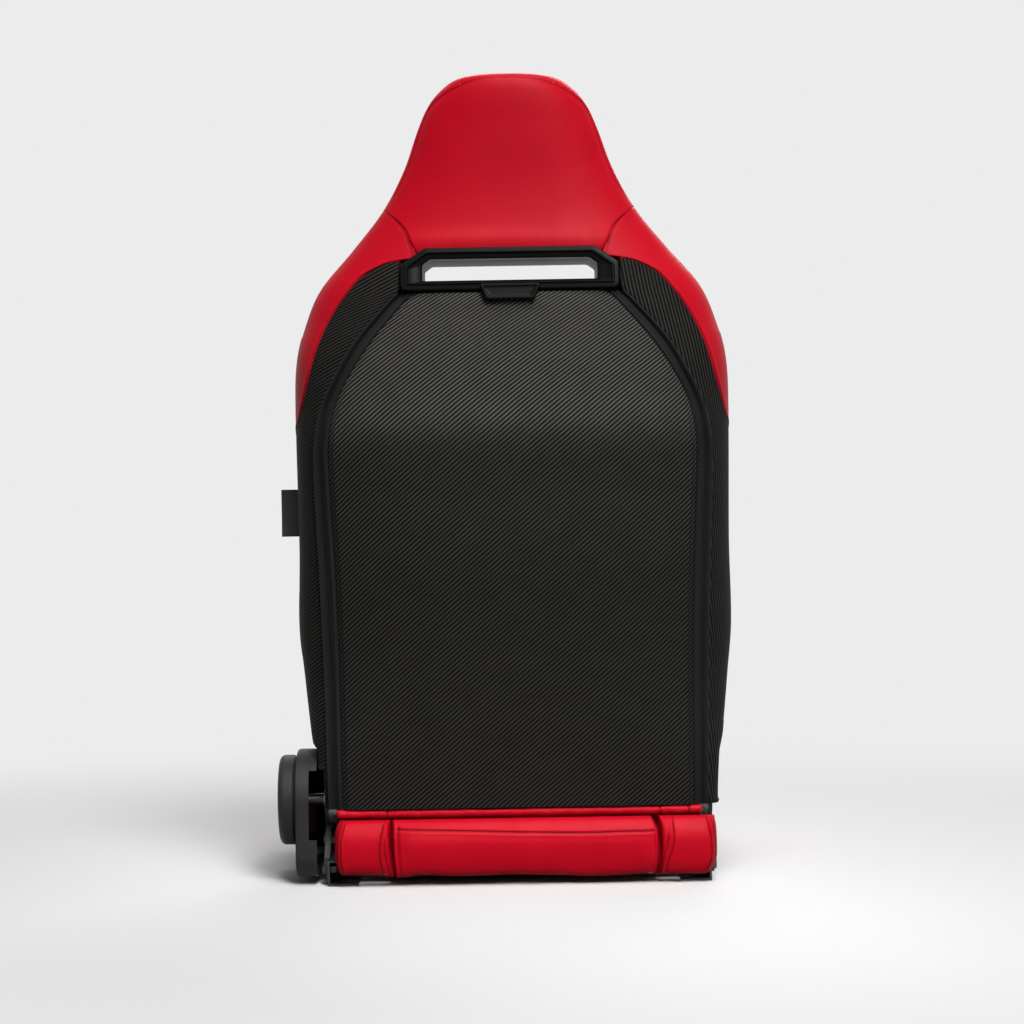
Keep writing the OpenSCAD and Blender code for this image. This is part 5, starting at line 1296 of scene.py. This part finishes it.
for side, word in ((-1, "left"), (1, "right")):
    band = bpy.data.objects["edge_piping_" + word]
    made = layStitches("edge_thread_" + word, band, [bandThread(bandStitches, side)],
                       pitch=bandStitches["pitch"], long=bandStitches["long"], thick=bandStitches["thick"])
    dress(made, darkThread, "backrest")
print("bezels and threads made")

# floor, light and camera

studio = {"pale": (0.84, 0.84, 0.845), "floor": (0.82, 0.82, 0.824), "bounce": (0.10, 0.10, 0.10),
          "world": 0.11, "near": 0.55, "far": 1.9}

def buildStage(s):
    # a wide disc of rings: a diffuse floor that fades with distance into the background's tone
    mesh = bpy.data.meshes.new("studio_floor")
    turn = np.arange(96) * 2 * math.pi / 96
    radii = np.array([0.6, 1.4, 3, 8, 40])
    points = np.stack([np.outer(radii, np.cos(turn)), np.outer(radii, np.sin(turn)), np.zeros((5, 96))], -1)
    points = np.concatenate([points.reshape(-1, 3), [[0, 0, 0]]])
    k = np.arange(96)
    fan = np.stack([np.full(96, 480), k, (k + 1) % 96], -1)
    faces = gridFaces(5, 96, wrap=True)[:, ::-1]
    mesh.from_pydata(points.tolist(), [], fan.tolist() + faces.tolist())
    floor = addObject("studio_floor", mesh)
    material = bpy.data.materials.new("paleFloor")
    material.use_nodes = True
    tree = material.node_tree
    tree.nodes.clear()
    place = addNode(tree, "TexCoord").outputs["Object"]
    size = addNode(tree, "VectorMath", {0: place}, operation="LENGTH").outputs["Value"]
    fade = addNode(tree, "MapRange", {"From Min": s["near"], "From Max": s["far"], "Value": size},
                   interpolation_type="SMOOTHERSTEP").outputs["Result"]
    seen = seenRays(tree)
    tone = addNode(tree, "Mix", {6: colour(s["bounce"]), 7: colour(s["floor"]), 0: seen}, data_type="RGBA")
    plain = addNode(tree, "BsdfDiffuse", {"Color": tone.outputs[2]}).outputs[0]
    far = addNode(tree, "Emission", {"Color": colour(s["pale"])}).outputs[0]
    both = addNode(tree, "Math", {0: seen, 1: fade}, operation="MULTIPLY").outputs[0]
    blend = addNode(tree, "MixShader", {0: both, 1: plain, 2: far}).outputs[0]
    addNode(tree, "OutputMaterial", {"Surface": blend})
    mesh.materials.append(material)

def seenRays(tree):
    # 1 for camera, glossy and transmission rays, and 0 for the light that falls on the object
    rays = addNode(tree, "LightPath").outputs
    first = addNode(tree, "Math", {0: rays["Is Camera Ray"], 1: rays["Is Glossy Ray"]}, operation="MAXIMUM")
    both = {0: first.outputs[0], 1: rays["Is Transmission Ray"]}
    return addNode(tree, "Math", both, operation="MAXIMUM").outputs[0]

def buildWorld(s):
    # the background's tone to the eye and in reflections, and a weaker sky for the light
    world = bpy.data.worlds.new("studio")
    bpy.context.scene.world = world
    world.use_nodes = True
    tree = world.node_tree
    tree.nodes.clear()
    lightSky = addNode(tree, "Background", {"Color": colour(s["pale"]), "Strength": s["world"]}).outputs[0]
    seenSky = addNode(tree, "Background", {"Color": colour(s["pale"])}).outputs[0]
    blend = addNode(tree, "MixShader", {0: seenRays(tree), 1: lightSky, 2: seenSky}).outputs[0]
    addNode(tree, "OutputWorld", {"Surface": blend})

middle = (0, -0.1, 0.5)
lamps = {
    "keyLamp": {"place": (1.1, -3.5, 3.6), "target": middle, "size": 1.4, "power": 120, "spread": 180},
    "topLamp": {"place": (0.2, -1.5, 3.6), "target": middle, "size": 1.1, "power": 50, "spread": 180},
    "fillLamp": {"place": (0.3, -1.9, 1.1), "target": (0, -0.27, 0.04), "size": 0.7, "power": 1.0,
                 "spread": 36},
    "frontLamp": {"place": (0.6, 2.6, 2.4), "target": middle, "size": 2.0, "power": 52, "spread": 180},
}

def addLamp(name, s):
    # a round area lamp at its place, turned to its target
    light = bpy.data.lights.new(name, "AREA")
    light.shape, light.size, light.energy = "DISK", s["size"], s["power"]
    light.spread = math.radians(s["spread"])
    lamp = addObject(name, light)
    lamp.location = s["place"]
    lamp.rotation_euler = (Vector(s["target"]) - Vector(s["place"])).to_track_quat("-Z", "Y").to_euler()

buildStage(studio)
buildWorld(studio)
for name, lampSettings in lamps.items():
    addLamp(name, lampSettings)

view = {"place": (-0.002, -3.4, 0.433), "lens": 95.15, "sensor": 36, "roll": 0.95}
camera = bpy.data.cameras.new("camera")
camera.lens, camera.sensor_width = view["lens"], view["sensor"]
cameraObject = addObject("camera", camera)
cameraObject.location = view["place"]
cameraObject.rotation_euler = (math.radians(90), math.radians(view["roll"]), 0)
bpy.context.scene.camera = cameraObject
bpy.context.scene.view_settings.view_transform = "Standard"
